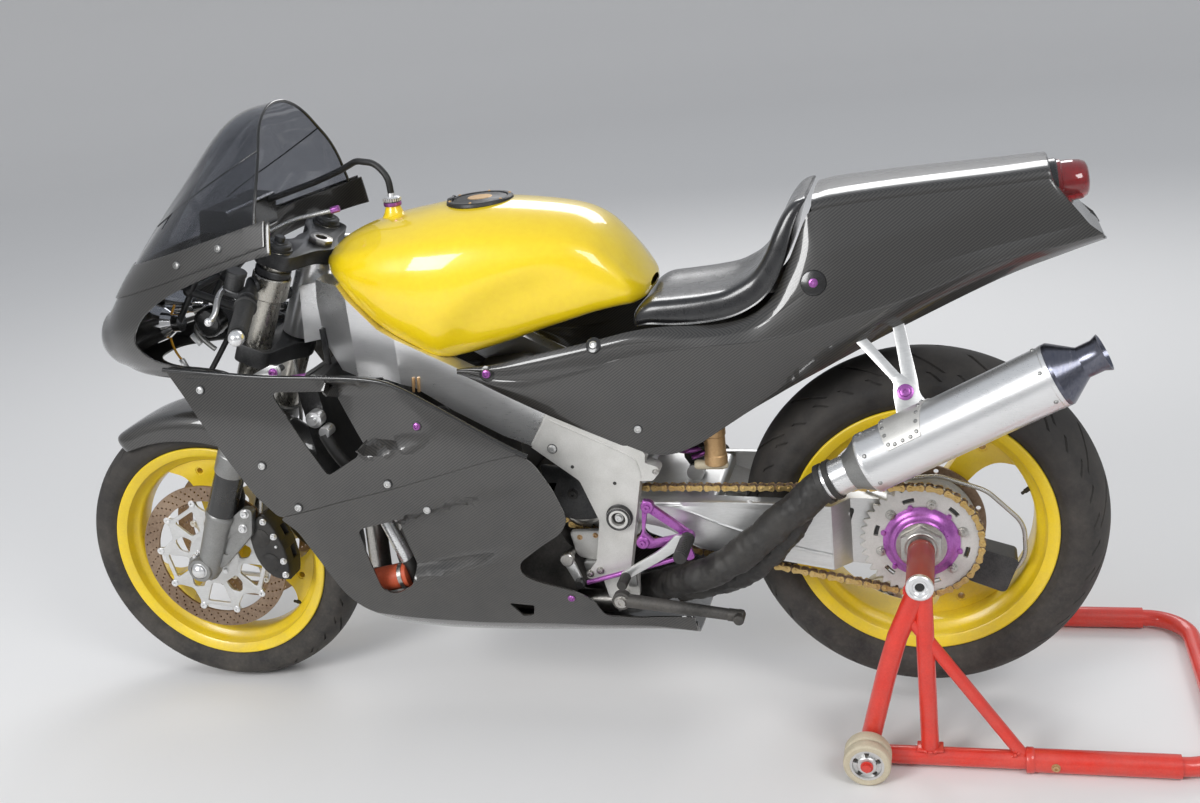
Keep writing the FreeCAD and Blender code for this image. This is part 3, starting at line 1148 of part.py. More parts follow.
def hoses():
    line = pipe([at(-140, 50, 262), at(-175, 60, 300), at(-172, 66, 372), at(-110, 70, 436),
                                     at(-30, 66, 462), at(50, 60, 452), at(96, 50, 436)], 4, 60)
    nodes["rear_brake_hose"] = largest(line.cut([nodes["rear_caliper"], nodes["swingarm"], nodes["hub_carrier"]]))
    lines = []
    for side in (-1, 1):
        lines.append(pipe([up(FORK_OFFSET - 74, side * 89, -FORK_LENGTH + 140),
                           up(FORK_OFFSET - 62, side * 89, -FORK_LENGTH + 210),
                           up(FORK_OFFSET - 44, side * 89, -394), up(FORK_OFFSET - 34, side * 70, -320),
                           up(FORK_OFFSET - 16, side * 52, -256),
                           up(FORK_OFFSET - 6, side * 44, -LOWER_CLAMP_DROP - 18)], 4, 60))
    lines = steer(Part.makeCompound(lines)).cut([nodes["front_calipers"], nodes["lower_clamp_stem"],
                                                 nodes["fork_tubes"], nodes["fork_lowers"]])
    nodes["front_brake_hoses"] = lines


def build():
    side_fairing()
    belly()
    front_wheel()
    rear_wheel()
    chain()
    fork()
    calipers()
    mudguard()
    bars()
    frame()
    pivot_plates()
    engine()
    radiator()
    exhaust()
    swingarm()
    shock()
    tank()
    tail()
    nose()
    silencer_hanger()
    rearsets()
    side_stand()
    stand()
    hoses()


build()
os.makedirs("parts", exist_ok=True)
for name, shape in nodes.items():
    shape.exportStep(os.path.join("parts", name + ".step"))
    print(name, len(shape.Solids), round(shape.Volume / 1000.0, 1), shape.isValid())
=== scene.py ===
import bpy
import json
import math
from mathutils import Matrix, Vector, noise


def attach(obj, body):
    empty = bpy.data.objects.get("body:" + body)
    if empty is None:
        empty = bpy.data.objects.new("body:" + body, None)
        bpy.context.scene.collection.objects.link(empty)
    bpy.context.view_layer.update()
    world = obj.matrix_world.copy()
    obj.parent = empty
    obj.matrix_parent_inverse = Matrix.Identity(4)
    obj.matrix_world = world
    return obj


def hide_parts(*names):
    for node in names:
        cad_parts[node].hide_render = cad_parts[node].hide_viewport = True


# Looks of a race motorcycle on its red paddock stand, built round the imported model.
# Metres. +X is forward, +Y is the rider's left, +Z is up, the floor is z = 0.

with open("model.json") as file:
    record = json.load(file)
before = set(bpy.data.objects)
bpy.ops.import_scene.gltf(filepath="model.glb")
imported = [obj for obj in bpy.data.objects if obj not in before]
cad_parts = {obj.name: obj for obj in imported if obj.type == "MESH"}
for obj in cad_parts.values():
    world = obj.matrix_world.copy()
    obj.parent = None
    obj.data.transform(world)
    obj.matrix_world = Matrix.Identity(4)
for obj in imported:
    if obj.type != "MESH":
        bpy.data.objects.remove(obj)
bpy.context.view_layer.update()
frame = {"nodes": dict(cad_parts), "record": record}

# The bike's own tables are in millimetres from the rear axle and above the floor.
REAR_AXLE_X = -0.5975
FLOOR_RISE = 0.000027


def bike(x, y, z):
    """Place given in millimetres from the rear axle, the middle plane and the floor."""
    return Vector((REAR_AXLE_X + x / 1000, y / 1000, z / 1000 + FLOOR_RISE))


REAR_HUB = bike(0, 0, 357)
FRONT_HUB = bike(1405, 0, 294)
HEAD = bike(1087.2, 0, 905)
RAKE = math.radians(23.65)
STEER_AXIS = Vector((-math.sin(RAKE), 0, math.cos(RAKE)))
STEER_FORWARD = Vector((math.cos(RAKE), 0, math.sin(RAKE)))
ACROSS = Vector((0, 1, 0))


def steer(x, y, z):
    """Place on the steering, in millimetres forward, left and up along the raked axis."""
    return HEAD + (STEER_FORWARD * x + ACROSS * y + STEER_AXIS * z) / 1000


# Finishes

class Wiring:
    """Adds nodes to a tree and joins them."""

    def __init__(self, tree):
        self.tree = tree

    def feed(self, socket, value):
        if isinstance(value, bpy.types.NodeSocket):
            self.tree.links.new(value, socket)
        else:
            socket.default_value = value

    def add(self, kind, values=(), **settings):
        node = self.tree.nodes.new(kind)
        for label, value in settings.items():
            setattr(node, label, value)
        for key, value in dict(values).items():
            self.feed(node.inputs[key], value)
        return node

    def calc(self, operation, *values):
        node = self.add("ShaderNodeMath", operation=operation)
        for index, value in enumerate(values):
            self.feed(node.inputs[index], value)
        return node.outputs[0]

    def plus(self, a, b):
        return self.calc("ADD", a, b)

    def minus(self, a, b):
        return self.calc("SUBTRACT", a, b)

    def times(self, a, b):
        return self.calc("MULTIPLY", a, b)

    def noise(self, place, scale, detail=3, roughness=0.5):
        node = self.add("ShaderNodeTexNoise", {"Vector": place, "Scale": scale, "Detail": detail,
            "Roughness": roughness})
        return node.outputs["Fac"]

    def mapped(self, value, low, high, to_low=0, to_high=1):
        node = self.add("ShaderNodeMapRange", {"Value": value, "From Min": low, "From Max": high,
            "To Min": to_low, "To Max": to_high})
        return node.outputs[0]

    def stretched(self, place, stretch):
        node = self.add("ShaderNodeVectorMath", {0: place, 1: stretch}, operation="MULTIPLY")
        return node.outputs[0]

    def mixed(self, share, first, second):
        node = self.add("ShaderNodeMix", {"Factor": share}, data_type="RGBA")
        self.feed(node.inputs[6], first)
        self.feed(node.inputs[7], second)
        return node.outputs[2]


def effect(name, inputs, make):
    """Node group with a place, its own inputs, and a mask and a height to give out."""
    tree = bpy.data.node_groups.new(name, "ShaderNodeTree")
    tree.interface.new_socket(name="Place", in_out="INPUT", socket_type="NodeSocketVector")
    for label, value in inputs.items():
        kind = "NodeSocketVector" if isinstance(value, tuple) else "NodeSocketFloat"
        socket = tree.interface.new_socket(name=label, in_out="INPUT", socket_type=kind)
        socket.default_value = value
    for label in ("Mask", "Height"):
        tree.interface.new_socket(name=label, in_out="OUTPUT", socket_type="NodeSocketFloat")
    wiring = Wiring(tree)
    source = tree.nodes.new("NodeGroupInput")
    mask, height = make(wiring, source.outputs)
    target = tree.nodes.new("NodeGroupOutput")
    wiring.feed(target.inputs["Mask"], mask)
    wiring.feed(target.inputs["Height"], height)
    return tree


def make_grain(net, given):
    """Fine grain over soft blotches: cast metal, rubber, foam and moulded plastic."""
    fine = net.noise(given["Place"], given["Scale"], 4, 0.6)
    blotch = net.noise(given["Place"], net.times(given["Scale"], 0.06), 3, 0.55)
    mask = net.plus(net.times(fine, 0.45), net.times(blotch, 0.55))
    return net.mapped(mask, 0.34, 0.66), fine


def make_brushed(net, given):
    """Fine lines that run where the stretch is small: turned, drawn and hand polished metal."""
    lines = net.noise(net.stretched(given["Place"], given["Stretch"]), given["Scale"], 5, 0.7)
    cloud = net.noise(given["Place"], net.times(given["Scale"], 0.05), 4, 0.6)
    mask = net.plus(net.times(lines, 0.5), net.times(cloud, 0.5))
    return net.mapped(mask, 0.32, 0.68), lines


def make_twill(net, given):
    """Two over two twill cloth, drawn on whichever plane the surface faces."""
    parts = net.add("ShaderNodeSeparateXYZ", {0: given["Place"]}).outputs
    faces = net.add("ShaderNodeSeparateXYZ", {0: net.add("ShaderNodeTexCoord").outputs["Normal"]}).outputs
    flat = net.calc("GREATER_THAN", net.calc("ABSOLUTE", faces[2]), 0.74)
    ahead = net.calc("GREATER_THAN", net.calc("ABSOLUTE", faces[0]), 0.78)
    level = net.minus(1, flat)
    along = net.plus(net.times(parts[0], net.minus(1, ahead)), net.times(parts[1], ahead))
    rise = net.plus(net.times(parts[2], level), net.times(parts[1], flat))
    warp = net.calc("DIVIDE", net.plus(along, net.times(rise, 0.18)), given["Tow"])
    weft = net.calc("DIVIDE", net.minus(rise, net.times(along, 0.18)), given["Tow"])
    step = net.calc("FLOORED_MODULO", net.plus(net.calc("FLOOR", warp), net.calc("FLOOR", weft)), 4)
    # The tows on top get the mask's light tone and those under get the dark one: painted sheen, standing in
    # for the way warp and weft reflect light differently.
    over = net.calc("LESS_THAN", step, 2)
    under = net.minus(1, over)
    warp_round = net.calc("SINE", net.times(net.calc("FRACT", warp), math.pi))
    weft_round = net.calc("SINE", net.times(net.calc("FRACT", weft), math.pi))
    height = net.plus(net.times(over, warp_round), net.times(under, weft_round))
    return over, height


def make_dust(net, given):
    """Soft dirt that thickens towards the floor and in broken patches."""
    parts = net.add("ShaderNodeSeparateXYZ", {0: given["Place"]}).outputs
    low = net.mapped(parts[2], given["Top"], 0)
    patch = net.mapped(net.noise(given["Place"], 14, 6, 0.65), 0.35, 0.7)
    spots = net.mapped(net.noise(given["Place"], 160, 3, 0.6), 0.45, 0.75)
    mask = net.times(low, net.plus(net.times(patch, 0.75), net.times(spots, 0.25)))
    return net.times(mask, given["Amount"]), spots


EFFECTS = {
    "grain": effect("grain", {"Scale": 600}, make_grain),
    "brushed": effect("brushed_lines", {"Scale": 60, "Stretch": (1, 1, 14)}, make_brushed),
    "twill": effect("twill_cloth", {"Tow": 0.0024}, make_twill),
    "dust": effect("road_dust", {"Top": 0.5, "Amount": 0.4}, make_dust),
}

DUST_COLOUR = (0.3, 0.265, 0.22, 1)
FINISHES = {}


def finish(name, colours, pattern, rough, metallic=0, bump=0.1, depth=0.0002, dust=0.25, dust_top=0.9,
        **sockets):
    """Material with two tones and two roughnesses told apart by an effect, under some dust.

    The pattern is an effect's name and its values in the order the effect lists them.
    """
    material = bpy.data.materials.new(name)
    material.use_nodes = True
    net = Wiring(material.node_tree)
    shader = material.node_tree.nodes["Principled BSDF"]
    place = net.add("ShaderNodeTexCoord").outputs["Object"]

    def placed(kind, *given):
        node = net.add("ShaderNodeGroup", node_tree=EFFECTS[kind])
        for socket, value in zip(node.inputs, (place, *given)):
            net.feed(socket, value)
        return node.outputs

    main = placed(*pattern)
    dirt = placed("dust", dust_top, dust)
    dark, light = [tuple(colour) + (1,) for colour in colours]
    tone = net.mixed(main["Mask"], dark, light)
    net.feed(shader.inputs["Base Color"], net.mixed(dirt["Mask"], tone, DUST_COLOUR))
    sheen = net.mapped(main["Mask"], 0, 1, rough[0], rough[1])
    net.feed(shader.inputs["Roughness"], net.plus(sheen, net.times(dirt["Mask"], 0.5)))
    relief = net.add("ShaderNodeBump", {"Strength": bump, "Distance": depth, "Height": main["Height"]})
    net.feed(shader.inputs["Normal"], relief.outputs[0])
    shader.inputs["Metallic"].default_value = metallic
    for label, value in sockets.items():
        shader.inputs[label.replace("_", " ")].default_value = value
    FINISHES[name] = material


COAT = {"Coat_Weight": 1, "Coat_Roughness": 0.05}
finish("tank_paint", ((0.9, 0.63, 0.004), (0.96, 0.71, 0.008)), ("grain", 90), (0.28, 0.36), bump=0.02,
    dust=0.05, **COAT)
finish("wheel_paint", ((0.84, 0.58, 0.004), (0.93, 0.68, 0.012)), ("grain", 260), (0.3, 0.42), bump=0.06,
    dust=0.35, dust_top=0.7, Coat_Weight=0.5, Coat_Roughness=0.2)
# The carbon's lighter tone falls on the tows on top of the twill: painted sheen of the weave.
finish("carbon", ((0.01, 0.01, 0.01), (0.04, 0.037, 0.033)), ("twill", 0.0015), (0.3, 0.42), bump=0.2,
    depth=0.0002, dust=0.1, **COAT)
finish("tyre_rubber", ((0.012, 0.011, 0.011), (0.036, 0.033, 0.031)), ("grain", 700), (0.62, 0.85),
    bump=0.35, dust=0.3)
finish("polished_alloy", ((0.74, 0.74, 0.74), (0.88, 0.88, 0.88)), ("brushed", 70, (1, 1, 14)),
    (0.24, 0.36), 0.85, 0.04, dust=0.04)
finish("cast_alloy", ((0.56, 0.55, 0.52), (0.7, 0.69, 0.66)), ("grain", 420), (0.36, 0.52), 0.5, 0.3,
    dust=0.12)
finish("satin_alloy", ((0.6, 0.6, 0.59), (0.76, 0.76, 0.75)), ("brushed", 90, (1, 1, 5)), (0.28, 0.44), 0.8,
    0.1, dust=0.12)
finish("bronze_alloy", ((0.36, 0.34, 0.3), (0.56, 0.54, 0.49)), ("brushed", 90, (3, 3, 1)), (0.2, 0.34), 1,
    0.06, dust=0.12)
finish("grey_casting", ((0.24, 0.24, 0.235), (0.36, 0.36, 0.35)), ("grain", 420), (0.34, 0.5), 0.8, 0.3,
    dust=0.2)
finish("dark_alloy", ((0.03, 0.031, 0.033), (0.085, 0.085, 0.085)), ("grain", 380), (0.35, 0.5), 0.6, 0.2,
    dust=0.15)
finish("steel", ((0.36, 0.35, 0.33), (0.6, 0.58, 0.55)), ("grain", 240), (0.26, 0.42), 1, 0.12, dust=0.2)
finish("rotor_iron", ((0.2, 0.13, 0.085), (0.38, 0.28, 0.2)), ("grain", 180), (0.35, 0.55), 0.75, 0.15,
    dust=0.1)
finish("chain_gold", ((0.5, 0.33, 0.11), (0.74, 0.55, 0.24)), ("grain", 300), (0.28, 0.48), 0.9, 0.1,
    dust=0.2)
finish("purple_alloy", ((0.3, 0.075, 0.34), (0.52, 0.19, 0.54)), ("grain", 300), (0.25, 0.38), 0.8, 0.08,
    dust=0.05)
finish("black_steel", ((0.01, 0.01, 0.011), (0.045, 0.043, 0.04)), ("grain", 200), (0.4, 0.65), 0.2, 0.25,
    dust=0.15)
finish("red_powder", ((0.62, 0.018, 0.008), (0.78, 0.035, 0.015)), ("grain", 320), (0.28, 0.4), bump=0.08,
    dust=0.2, dust_top=0.5, Coat_Weight=0.6, Coat_Roughness=0.12)
finish("seat_foam", ((0.006, 0.006, 0.007), (0.014, 0.014, 0.015)), ("grain", 700), (0.22, 0.36), bump=0.25,
    dust=0.04, Coat_Weight=0.7, Coat_Roughness=0.16)
finish("black_plastic", ((0.006, 0.006, 0.006), (0.016, 0.016, 0.016)), ("grain", 300), (0.18, 0.3),
    bump=0.05, dust=0.1, Coat_Weight=0.6, Coat_Roughness=0.1)
finish("grip_rubber", ((0.01, 0.01, 0.01), (0.028, 0.028, 0.028)), ("grain", 800), (0.55, 0.75), bump=0.4,
    dust=0.1)
finish("hose_rubber", ((0.008, 0.008, 0.008), (0.026, 0.026, 0.026)), ("grain", 500), (0.35, 0.55),
    bump=0.2, dust=0.1)
finish("braid", ((0.34, 0.34, 0.33), (0.68, 0.67, 0.64)), ("twill", 0.0007), (0.25, 0.4), 0.9, 0.4,
    dust=0.05)
finish("engine_metal", ((0.035, 0.034, 0.033), (0.11, 0.105, 0.1)), ("grain", 300), (0.45, 0.65), 0.5, 0.3,
    dust=0.3)
finish("wheel_tread", ((0.5, 0.43, 0.3), (0.66, 0.59, 0.44)), ("grain", 500), (0.5, 0.7), bump=0.3,
    dust=0.35, dust_top=0.2)
finish("lamp", ((0.7, 0.7, 0.7), (0.86, 0.86, 0.86)), ("brushed", 120, (1, 4, 4)), (0.06, 0.14), 1, 0.02,
    dust=0)
finish("orange_hose", ((0.44, 0.06, 0.02), (0.66, 0.11, 0.035)), ("grain", 260), (0.4, 0.6), bump=0.15,
    dust=0.2)
finish("sleeve_red", ((0.24, 0.022, 0.014), (0.4, 0.045, 0.026)), ("brushed", 90, (1, 0.2, 1)), (0.4, 0.55),
    bump=0.1, dust=0.35, Coat_Weight=0.25)
finish("brass", ((0.5, 0.3, 0.13), (0.68, 0.46, 0.24)), ("grain", 200), (0.35, 0.55), 0.6, 0.2, dust=0.2)
finish("wire_yellow", ((0.8, 0.36, 0.02), (0.88, 0.46, 0.03)), ("grain", 300), (0.4, 0.5), bump=0.02,
    dust=0.1)
finish("blued_steel", ((0.07, 0.08, 0.12), (0.2, 0.2, 0.23)), ("brushed", 50, (5, 1, 3)), (0.16, 0.3), 0.95,
    0.04, dust=0.05)
finish("lens_red", ((0.2, 0.003, 0.005), (0.34, 0.007, 0.01)), ("grain", 60), (0.06, 0.12), bump=0.02,
    dust=0.03, Transmission_Weight=0.35, **COAT)
finish("screen", ((0.3, 0.31, 0.34), (0.34, 0.35, 0.38)), ("grain", 30), (0.02, 0.05), bump=0.01, dust=0,
    Transmission_Weight=1, IOR=1.08, **COAT)

SLOT_OF = {row["node"]: row["material_slot"] for row in frame["record"]["subparts"]}
for node, slot in SLOT_OF.items():
    frame["nodes"][node].data.materials.clear()
    frame["nodes"][node].data.materials.append(FINISHES["black_plastic" if node == "instruments" else slot])

# Modelling steps

def choose(*pieces):
    """Selects these pieces alone, the first one active."""
    bpy.ops.object.select_all(action="DESELECT")
    for piece in pieces:
        piece.select_set(True)
    bpy.context.view_layer.objects.active = pieces[0]


def started(operator, **settings):
    """New primitive, with nothing else selected, its turn and scale in its mesh."""
    bpy.ops.object.select_all(action="DESELECT")
    operator(**settings)
    return settled(bpy.context.object)


def settled(piece):
    choose(piece)
    bpy.ops.object.transform_apply()
    return piece


def edited(*steps):
    """Takes the active piece through mesh steps, each on all of it."""
    bpy.ops.object.mode_set(mode="EDIT")
    for step in steps:
        bpy.ops.mesh.select_all(action="SELECT")
        step()
    bpy.ops.object.mode_set(mode="OBJECT")
    return bpy.context.object


def faces_out():
    bpy.ops.mesh.normals_make_consistent(inside=False)


def modify(piece, kind, **settings):
    choose(piece)
    bpy.ops.object.modifier_add(type=kind)
    modifier = piece.modifiers[-1]
    for label, value in settings.items():
        setattr(modifier, label, value)
    bpy.ops.object.modifier_apply(modifier=modifier.name)
    return piece


def rounded(piece, width, segments=2, angle=35):
    return modify(piece, "BEVEL", width=width, segments=segments, limit_method="ANGLE",
        angle_limit=math.radians(angle))


def cut(piece, *cutters, operation="DIFFERENCE"):
    for cutter in cutters:
        modify(piece, "BOOLEAN", operation=operation, object=cutter, solver="EXACT")
        bpy.data.objects.remove(cutter)
    return piece


def joined(pieces):
    """One piece of a list of them; a single piece comes back as it is."""
    if not isinstance(pieces, list):
        return pieces
    choose(*pieces)
    if len(pieces) > 1:
        bpy.ops.object.join()
    return bpy.context.object


def copied(piece, change):
    """Copy with its own mesh, moved by a matrix, its faces still outwards."""
    twin = piece.copy()
    twin.data = piece.data.copy()
    bpy.context.scene.collection.objects.link(twin)
    twin.data.transform(change)
    if change.determinant() < 0:
        twin.data.flip_normals()
    return twin


OVER = Matrix.Scale(-1, 4, ACROSS)
UP = Vector((0, 0, 1))
PANEL_WALL = 0.0035


def mm(x, y, z):
    """Vector in metres from three measures in millimetres."""
    return Vector((x, y, z)) / 1000


def both_sides(spots):
    """Places with their normals, and the same ones over on the right."""
    return spots + [(OVER @ place, OVER @ normal) for place, normal in spots]


def with_twin(pieces):
    piece = joined(pieces)
    return joined([piece, copied(piece, OVER)])


def turned_about(centre, axis, angle):
    return Matrix.Translation(centre) @ Matrix.Rotation(angle, 4, axis) @ Matrix.Translation(-centre)


def around(piece, centre, axis, count, start=0):
    """Equal copies round an axis, the first turned by the start angle in degrees."""
    turns = [math.radians(start) + math.tau * index / count for index in range(count)]
    copies = [copied(piece, turned_about(centre, axis, turn)) for turn in turns]
    bpy.data.objects.remove(piece)
    return joined(copies)


def wire(points, closed=False):
    """Line drawn from a corner point by point."""
    piece = started(bpy.ops.mesh.primitive_plane_add, size=0.001, location=points[0])
    bpy.ops.object.mode_set(mode="EDIT")
    bpy.ops.mesh.merge(type="CENTER")
    for before, after in zip(points, points[1:]):
        bpy.ops.mesh.extrude_region_move(TRANSFORM_OT_translate={"value": after - before})
    if closed:
        bpy.ops.mesh.select_all(action="SELECT")
        bpy.ops.mesh.edge_face_add()
    bpy.ops.object.mode_set(mode="OBJECT")
    return piece


def lathe(centre, axis, profile, steps=64, closed=False):
    """Shape turned about an axis from (radius, distance along it) points in millimetres."""
    side = axis.orthogonal().normalized()
    points = [centre + side * (radius / 1000) + axis * (along / 1000) for radius, along in profile]
    if closed:
        points.append(points[0])
    wire(points)
    return edited(lambda: bpy.ops.mesh.spin(steps=steps, angle=math.tau, center=centre, axis=axis),
        lambda: bpy.ops.mesh.remove_doubles(threshold=0.00001), faces_out)


def hollow(centre, axis, profile, steps=64):
    """Lathe shape whose profile closes on itself, open along the axis."""
    return lathe(centre, axis, profile, steps, closed=True)


def solid(centre, axis, profile, steps=64):
    """Lathe shape with flat ends that reach the axis."""
    return lathe(centre, axis, ((0.01, profile[0][1]), *profile, (0.01, profile[-1][1])), steps)


def plate(outline, thickness, bevel=0, holes=()):
    """Flat plate from its outline, pushed out by a thickness vector, with drilled holes."""
    wire(outline, closed=True)
    move = {"value": thickness}
    piece = edited(lambda: bpy.ops.mesh.extrude_region_move(TRANSFORM_OT_translate=move), faces_out)
    for centre, radius in holes:
        reach = thickness * 1.5
        cut(piece, rod(centre - reach, centre + reach, radius, 24, 0))
    if bevel > 0:
        rounded(piece, bevel)
    return piece


def softened(outline, radius, steps=5):
    """Outline of (x, z) with its corners cut to arcs, as a finer outline."""
    points = []
    count = len(outline)
    for index in range(count):
        own = outline[index][2] if len(outline[index]) > 2 else radius
        corner = Vector(outline[index][:2])
        to_before = (Vector(outline[index - 1][:2]) - corner)
        to_after = (Vector(outline[(index + 1) % count][:2]) - corner)
        reach = min(own, to_before.length * 0.48, to_after.length * 0.48)
        first = corner + to_before.normalized() * reach
        last = corner + to_after.normalized() * reach
        for step in range(steps + 1):
            share = step / steps
            points.append(first * (1 - share) ** 2 + corner * 2 * share * (1 - share) + last * share ** 2)
    return points


def side_outline(outline, y, radius=0, steps=5):
    """Side view outline of the bike, in millimetres, at one distance from the middle."""
    return [bike(point.x, y, point.y) for point in flat_outline(outline, radius, steps)]


def rod(start, end, radius, sides=32, bevel=0.0008, end_radius=None):
    """Straight bar between two places, its radius in millimetres."""
    length = (end - start).length
    turn = (end - start).to_track_quat("Z", "Y").to_euler()
    middle = (start + end) / 2
    if end_radius is None:
        piece = started(bpy.ops.mesh.primitive_cylinder_add, vertices=sides, radius=radius / 1000,
            depth=length, location=middle, rotation=turn)
    else:
        piece = started(bpy.ops.mesh.primitive_cone_add, vertices=sides, radius1=radius / 1000,
            radius2=end_radius / 1000, depth=length, location=middle, rotation=turn)
    if bevel > 0:
        rounded(piece, bevel)
    return piece


def tube(points, radius, order=3, sides=6, fine=10, closed=False):
    """Bent tube on a smooth line through its control points, its radius in millimetres."""
    line = bpy.data.curves.new("line", "CURVE")
    line.dimensions = "3D"
    spline = line.splines.new("NURBS")
    spline.points.add(len(points) - 1)
    for slot, point in zip(spline.points, points):
        slot.co = (*point, 1)
    spline.order_u = order
    spline.use_endpoint_u = not closed
    spline.use_cyclic_u = closed
    spline.resolution_u = fine
    line.bevel_depth = radius / 1000
    line.bevel_resolution = sides
    line.use_fill_caps = True
    piece = bpy.data.objects.new("line", line)
    bpy.context.scene.collection.objects.link(piece)
    choose(piece)
    bpy.ops.object.convert(target="MESH")
    return bpy.context.object


def bent_line(spots, radius, **settings):
    """Tube through places given in the bike's millimetres."""
    return tube([bike(*spot) for spot in spots], radius, **settings)


def mirrored_row(x, half, closed=True):
    """Row of places across the bike from the (y, z) points of its left half."""
    back = half[-2:0:-1] if closed else half[-2::-1]
    return [bike(x, y, z) for y, z in half] + [bike(x, -y, z) for y, z in back]


def circle_centre(a, b, c):
    """Centre of the circle through three flat points."""
    d = 2 * (a.x * (b.y - c.y) + b.x * (c.y - a.y) + c.x * (a.y - b.y))
    sa, sb, sc = a.length_squared, b.length_squared, c.length_squared
    across = (sa * (b.y - c.y) + sb * (c.y - a.y) + sc * (a.y - b.y)) / d
    return across, (sa * (c.x - b.x) + sb * (a.x - c.x) + sc * (b.x - a.x)) / d


def flat_outline(spots, radius, steps):
    """Side view outline as flat points, its corners cut to arcs if a radius is given."""
    return softened(spots, radius, steps) if radius > 0 else [Vector(spot[:2]) for spot in spots]


def through(points, count):
    """Places spaced along a smooth line that passes through all the given ones."""
    found = []
    last = len(points) - 1
    for index in range(count):
        share = index / (count - 1) * last
        first = min(int(share), last - 1)
        t = share - first
        a, b = points[first], points[first + 1]
        before = points[first - 1] if first > 0 else a * 2 - b
        after = points[first + 2] if first + 2 <= last else b * 2 - a
        found.append(0.5 * (2 * a + (b - before) * t + (2 * before - 5 * a + 4 * b - after) * t * t
            + (3 * a - before - 3 * b + after) * t ** 3))
    return found


def skin(rows, along, across, lap=False):
    """Fine sheet drawn through a coarse table of rows of places; lap closes each row on itself."""
    fine_rows = [through(row + [row[0]] if lap else row, across) for row in rows]
    columns = [through([row[index] for row in fine_rows], along) for index in range(across)]
    piece = started(bpy.ops.mesh.primitive_grid_add, x_subdivisions=across - 1, y_subdivisions=along - 1)
    places = [columns[column][row] for row in range(along) for column in range(across)]
    piece.data.vertices.foreach_set("co", [value for place in places for value in place])
    if lap:
        edited(lambda: bpy.ops.mesh.remove_doubles(threshold=0.00002))
    return piece


def outward(piece):
    """Turns a closed or open sheet's faces away from its middle."""
    choose(piece)
    return edited(faces_out)


def dressed(piece, name, slot, *nodes, body="chassis", angle=32):
    """Names a finished piece, gives it its finish, and lets it ride on its body."""
    piece = joined(piece)
    piece.name = piece.data.name = name
    piece.data.materials.clear()
    piece.data.materials.append(FINISHES[slot])
    choose(piece)
    bpy.ops.object.shade_smooth_by_angle(angle=math.radians(angle))
    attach(piece, body)
    if nodes:
        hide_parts(*nodes)
    return piece


def shelled(piece, direction, wall=PANEL_WALL, offset=-1, **settings):
    """Turns an open sheet to face a direction on the whole and gives it a wall."""
    outward(piece)
    total = Vector((0, 0, 0))
    for face in piece.data.polygons:
        total += face.normal * face.area
    if total.dot(direction) < 0:
        piece.data.flip_normals()
    return modify(piece, "SOLIDIFY", thickness=wall, offset=offset, **settings)


# Camera, floor and lamps

VIEW_PLACE = Vector((-0.6675, 2.294, 1.414))
VIEW_YAW, VIEW_PITCH, VIEW_ROLL = math.radians(-15.74), math.radians(19.11), math.radians(-6.51)
PHOTO_FOCAL, PHOTO_WIDTH = 1359, 1200

bpy.ops.object.select_all(action="DESELECT")
bpy.ops.object.camera_add(location=VIEW_PLACE)
camera = bpy.context.object
look = Vector((-math.sin(VIEW_YAW) * math.cos(VIEW_PITCH), -math.cos(VIEW_YAW) * math.cos(VIEW_PITCH),
    -math.sin(VIEW_PITCH)))
level_right = look.cross(UP).normalized()
level_up = level_right.cross(look)
right = level_right * math.cos(VIEW_ROLL) + level_up * math.sin(VIEW_ROLL)
upward = level_up * math.cos(VIEW_ROLL) - level_right * math.sin(VIEW_ROLL)
camera.rotation_mode = "QUATERNION"
camera.rotation_quaternion = Matrix((right, upward, -look)).transposed().to_quaternion()
camera.data.sensor_width = 36
camera.data.lens = 36 * PHOTO_FOCAL / PHOTO_WIDTH
camera.data.clip_end = 100
bpy.context.scene.camera = camera

scene = bpy.context.scene
scene.view_settings.view_transform = "Standard"

# The floor runs out level and then rises all round as a bowl.
BOWL = ((0.001, 0), (5000, 0), (8500, 0), (9400, 130), (10100, 520), (10600, 1150), (10900, 2000),
    (11000, 3000), (11000, 5200))
floor = lathe(Vector((0, 0, 0)), UP, BOWL, 64)
floor.name = "studio_floor"
floor_paint = bpy.data.materials.new("studio_floor")
floor_paint.use_nodes = True
floor_sockets = floor_paint.node_tree.nodes["Principled BSDF"].inputs
floor_sockets["Base Color"].default_value = (0.8, 0.79, 0.78, 1)
floor_sockets["Roughness"].default_value = 0.9
floor.data.materials.append(floor_paint)
choose(floor)
bpy.ops.object.shade_smooth()

world = bpy.data.worlds.new("studio")
scene.world = world
world.use_nodes = True
sky = Wiring(world.node_tree)
background = world.node_tree.nodes["Background"]
heights = sky.add("ShaderNodeSeparateXYZ", {0: sky.add("ShaderNodeTexCoord").outputs["Generated"]}).outputs[2]
sky.feed(background.inputs["Color"], sky.mixed(sky.mapped(heights, -0.1, 0.7), (0.62, 0.62, 0.63, 1),
    (0.8, 0.84, 0.9, 1)))
background.inputs["Strength"].default_value = 0.62

LAMPS = (
    # place, aim, width, height, power
    ((1.9, 3.4, 2.6), (0.1, 0, 0.6), 1.6, 1.6, 105),
    ((-2.6, 2.2, 3), (-0.4, 0, 0.5), 1.4, 1.4, 45),
    ((0, -3.2, 2.8), (0, 0, 0.6), 2.4, 1.2, 45),
)
for number, (place, aim, wide, high, power) in enumerate(LAMPS):
    bpy.ops.object.light_add(type="AREA", location=place)
    lamp = bpy.context.object
    lamp.name = f"soft_lamp_{number}"
    lamp.rotation_euler = (Vector(aim) - Vector(place)).to_track_quat("-Z", "Y").to_euler()
    lamp.data.shape = "RECTANGLE"
    lamp.data.size = wide
    lamp.data.size_y = high
    lamp.data.energy = power


# Fuel tank

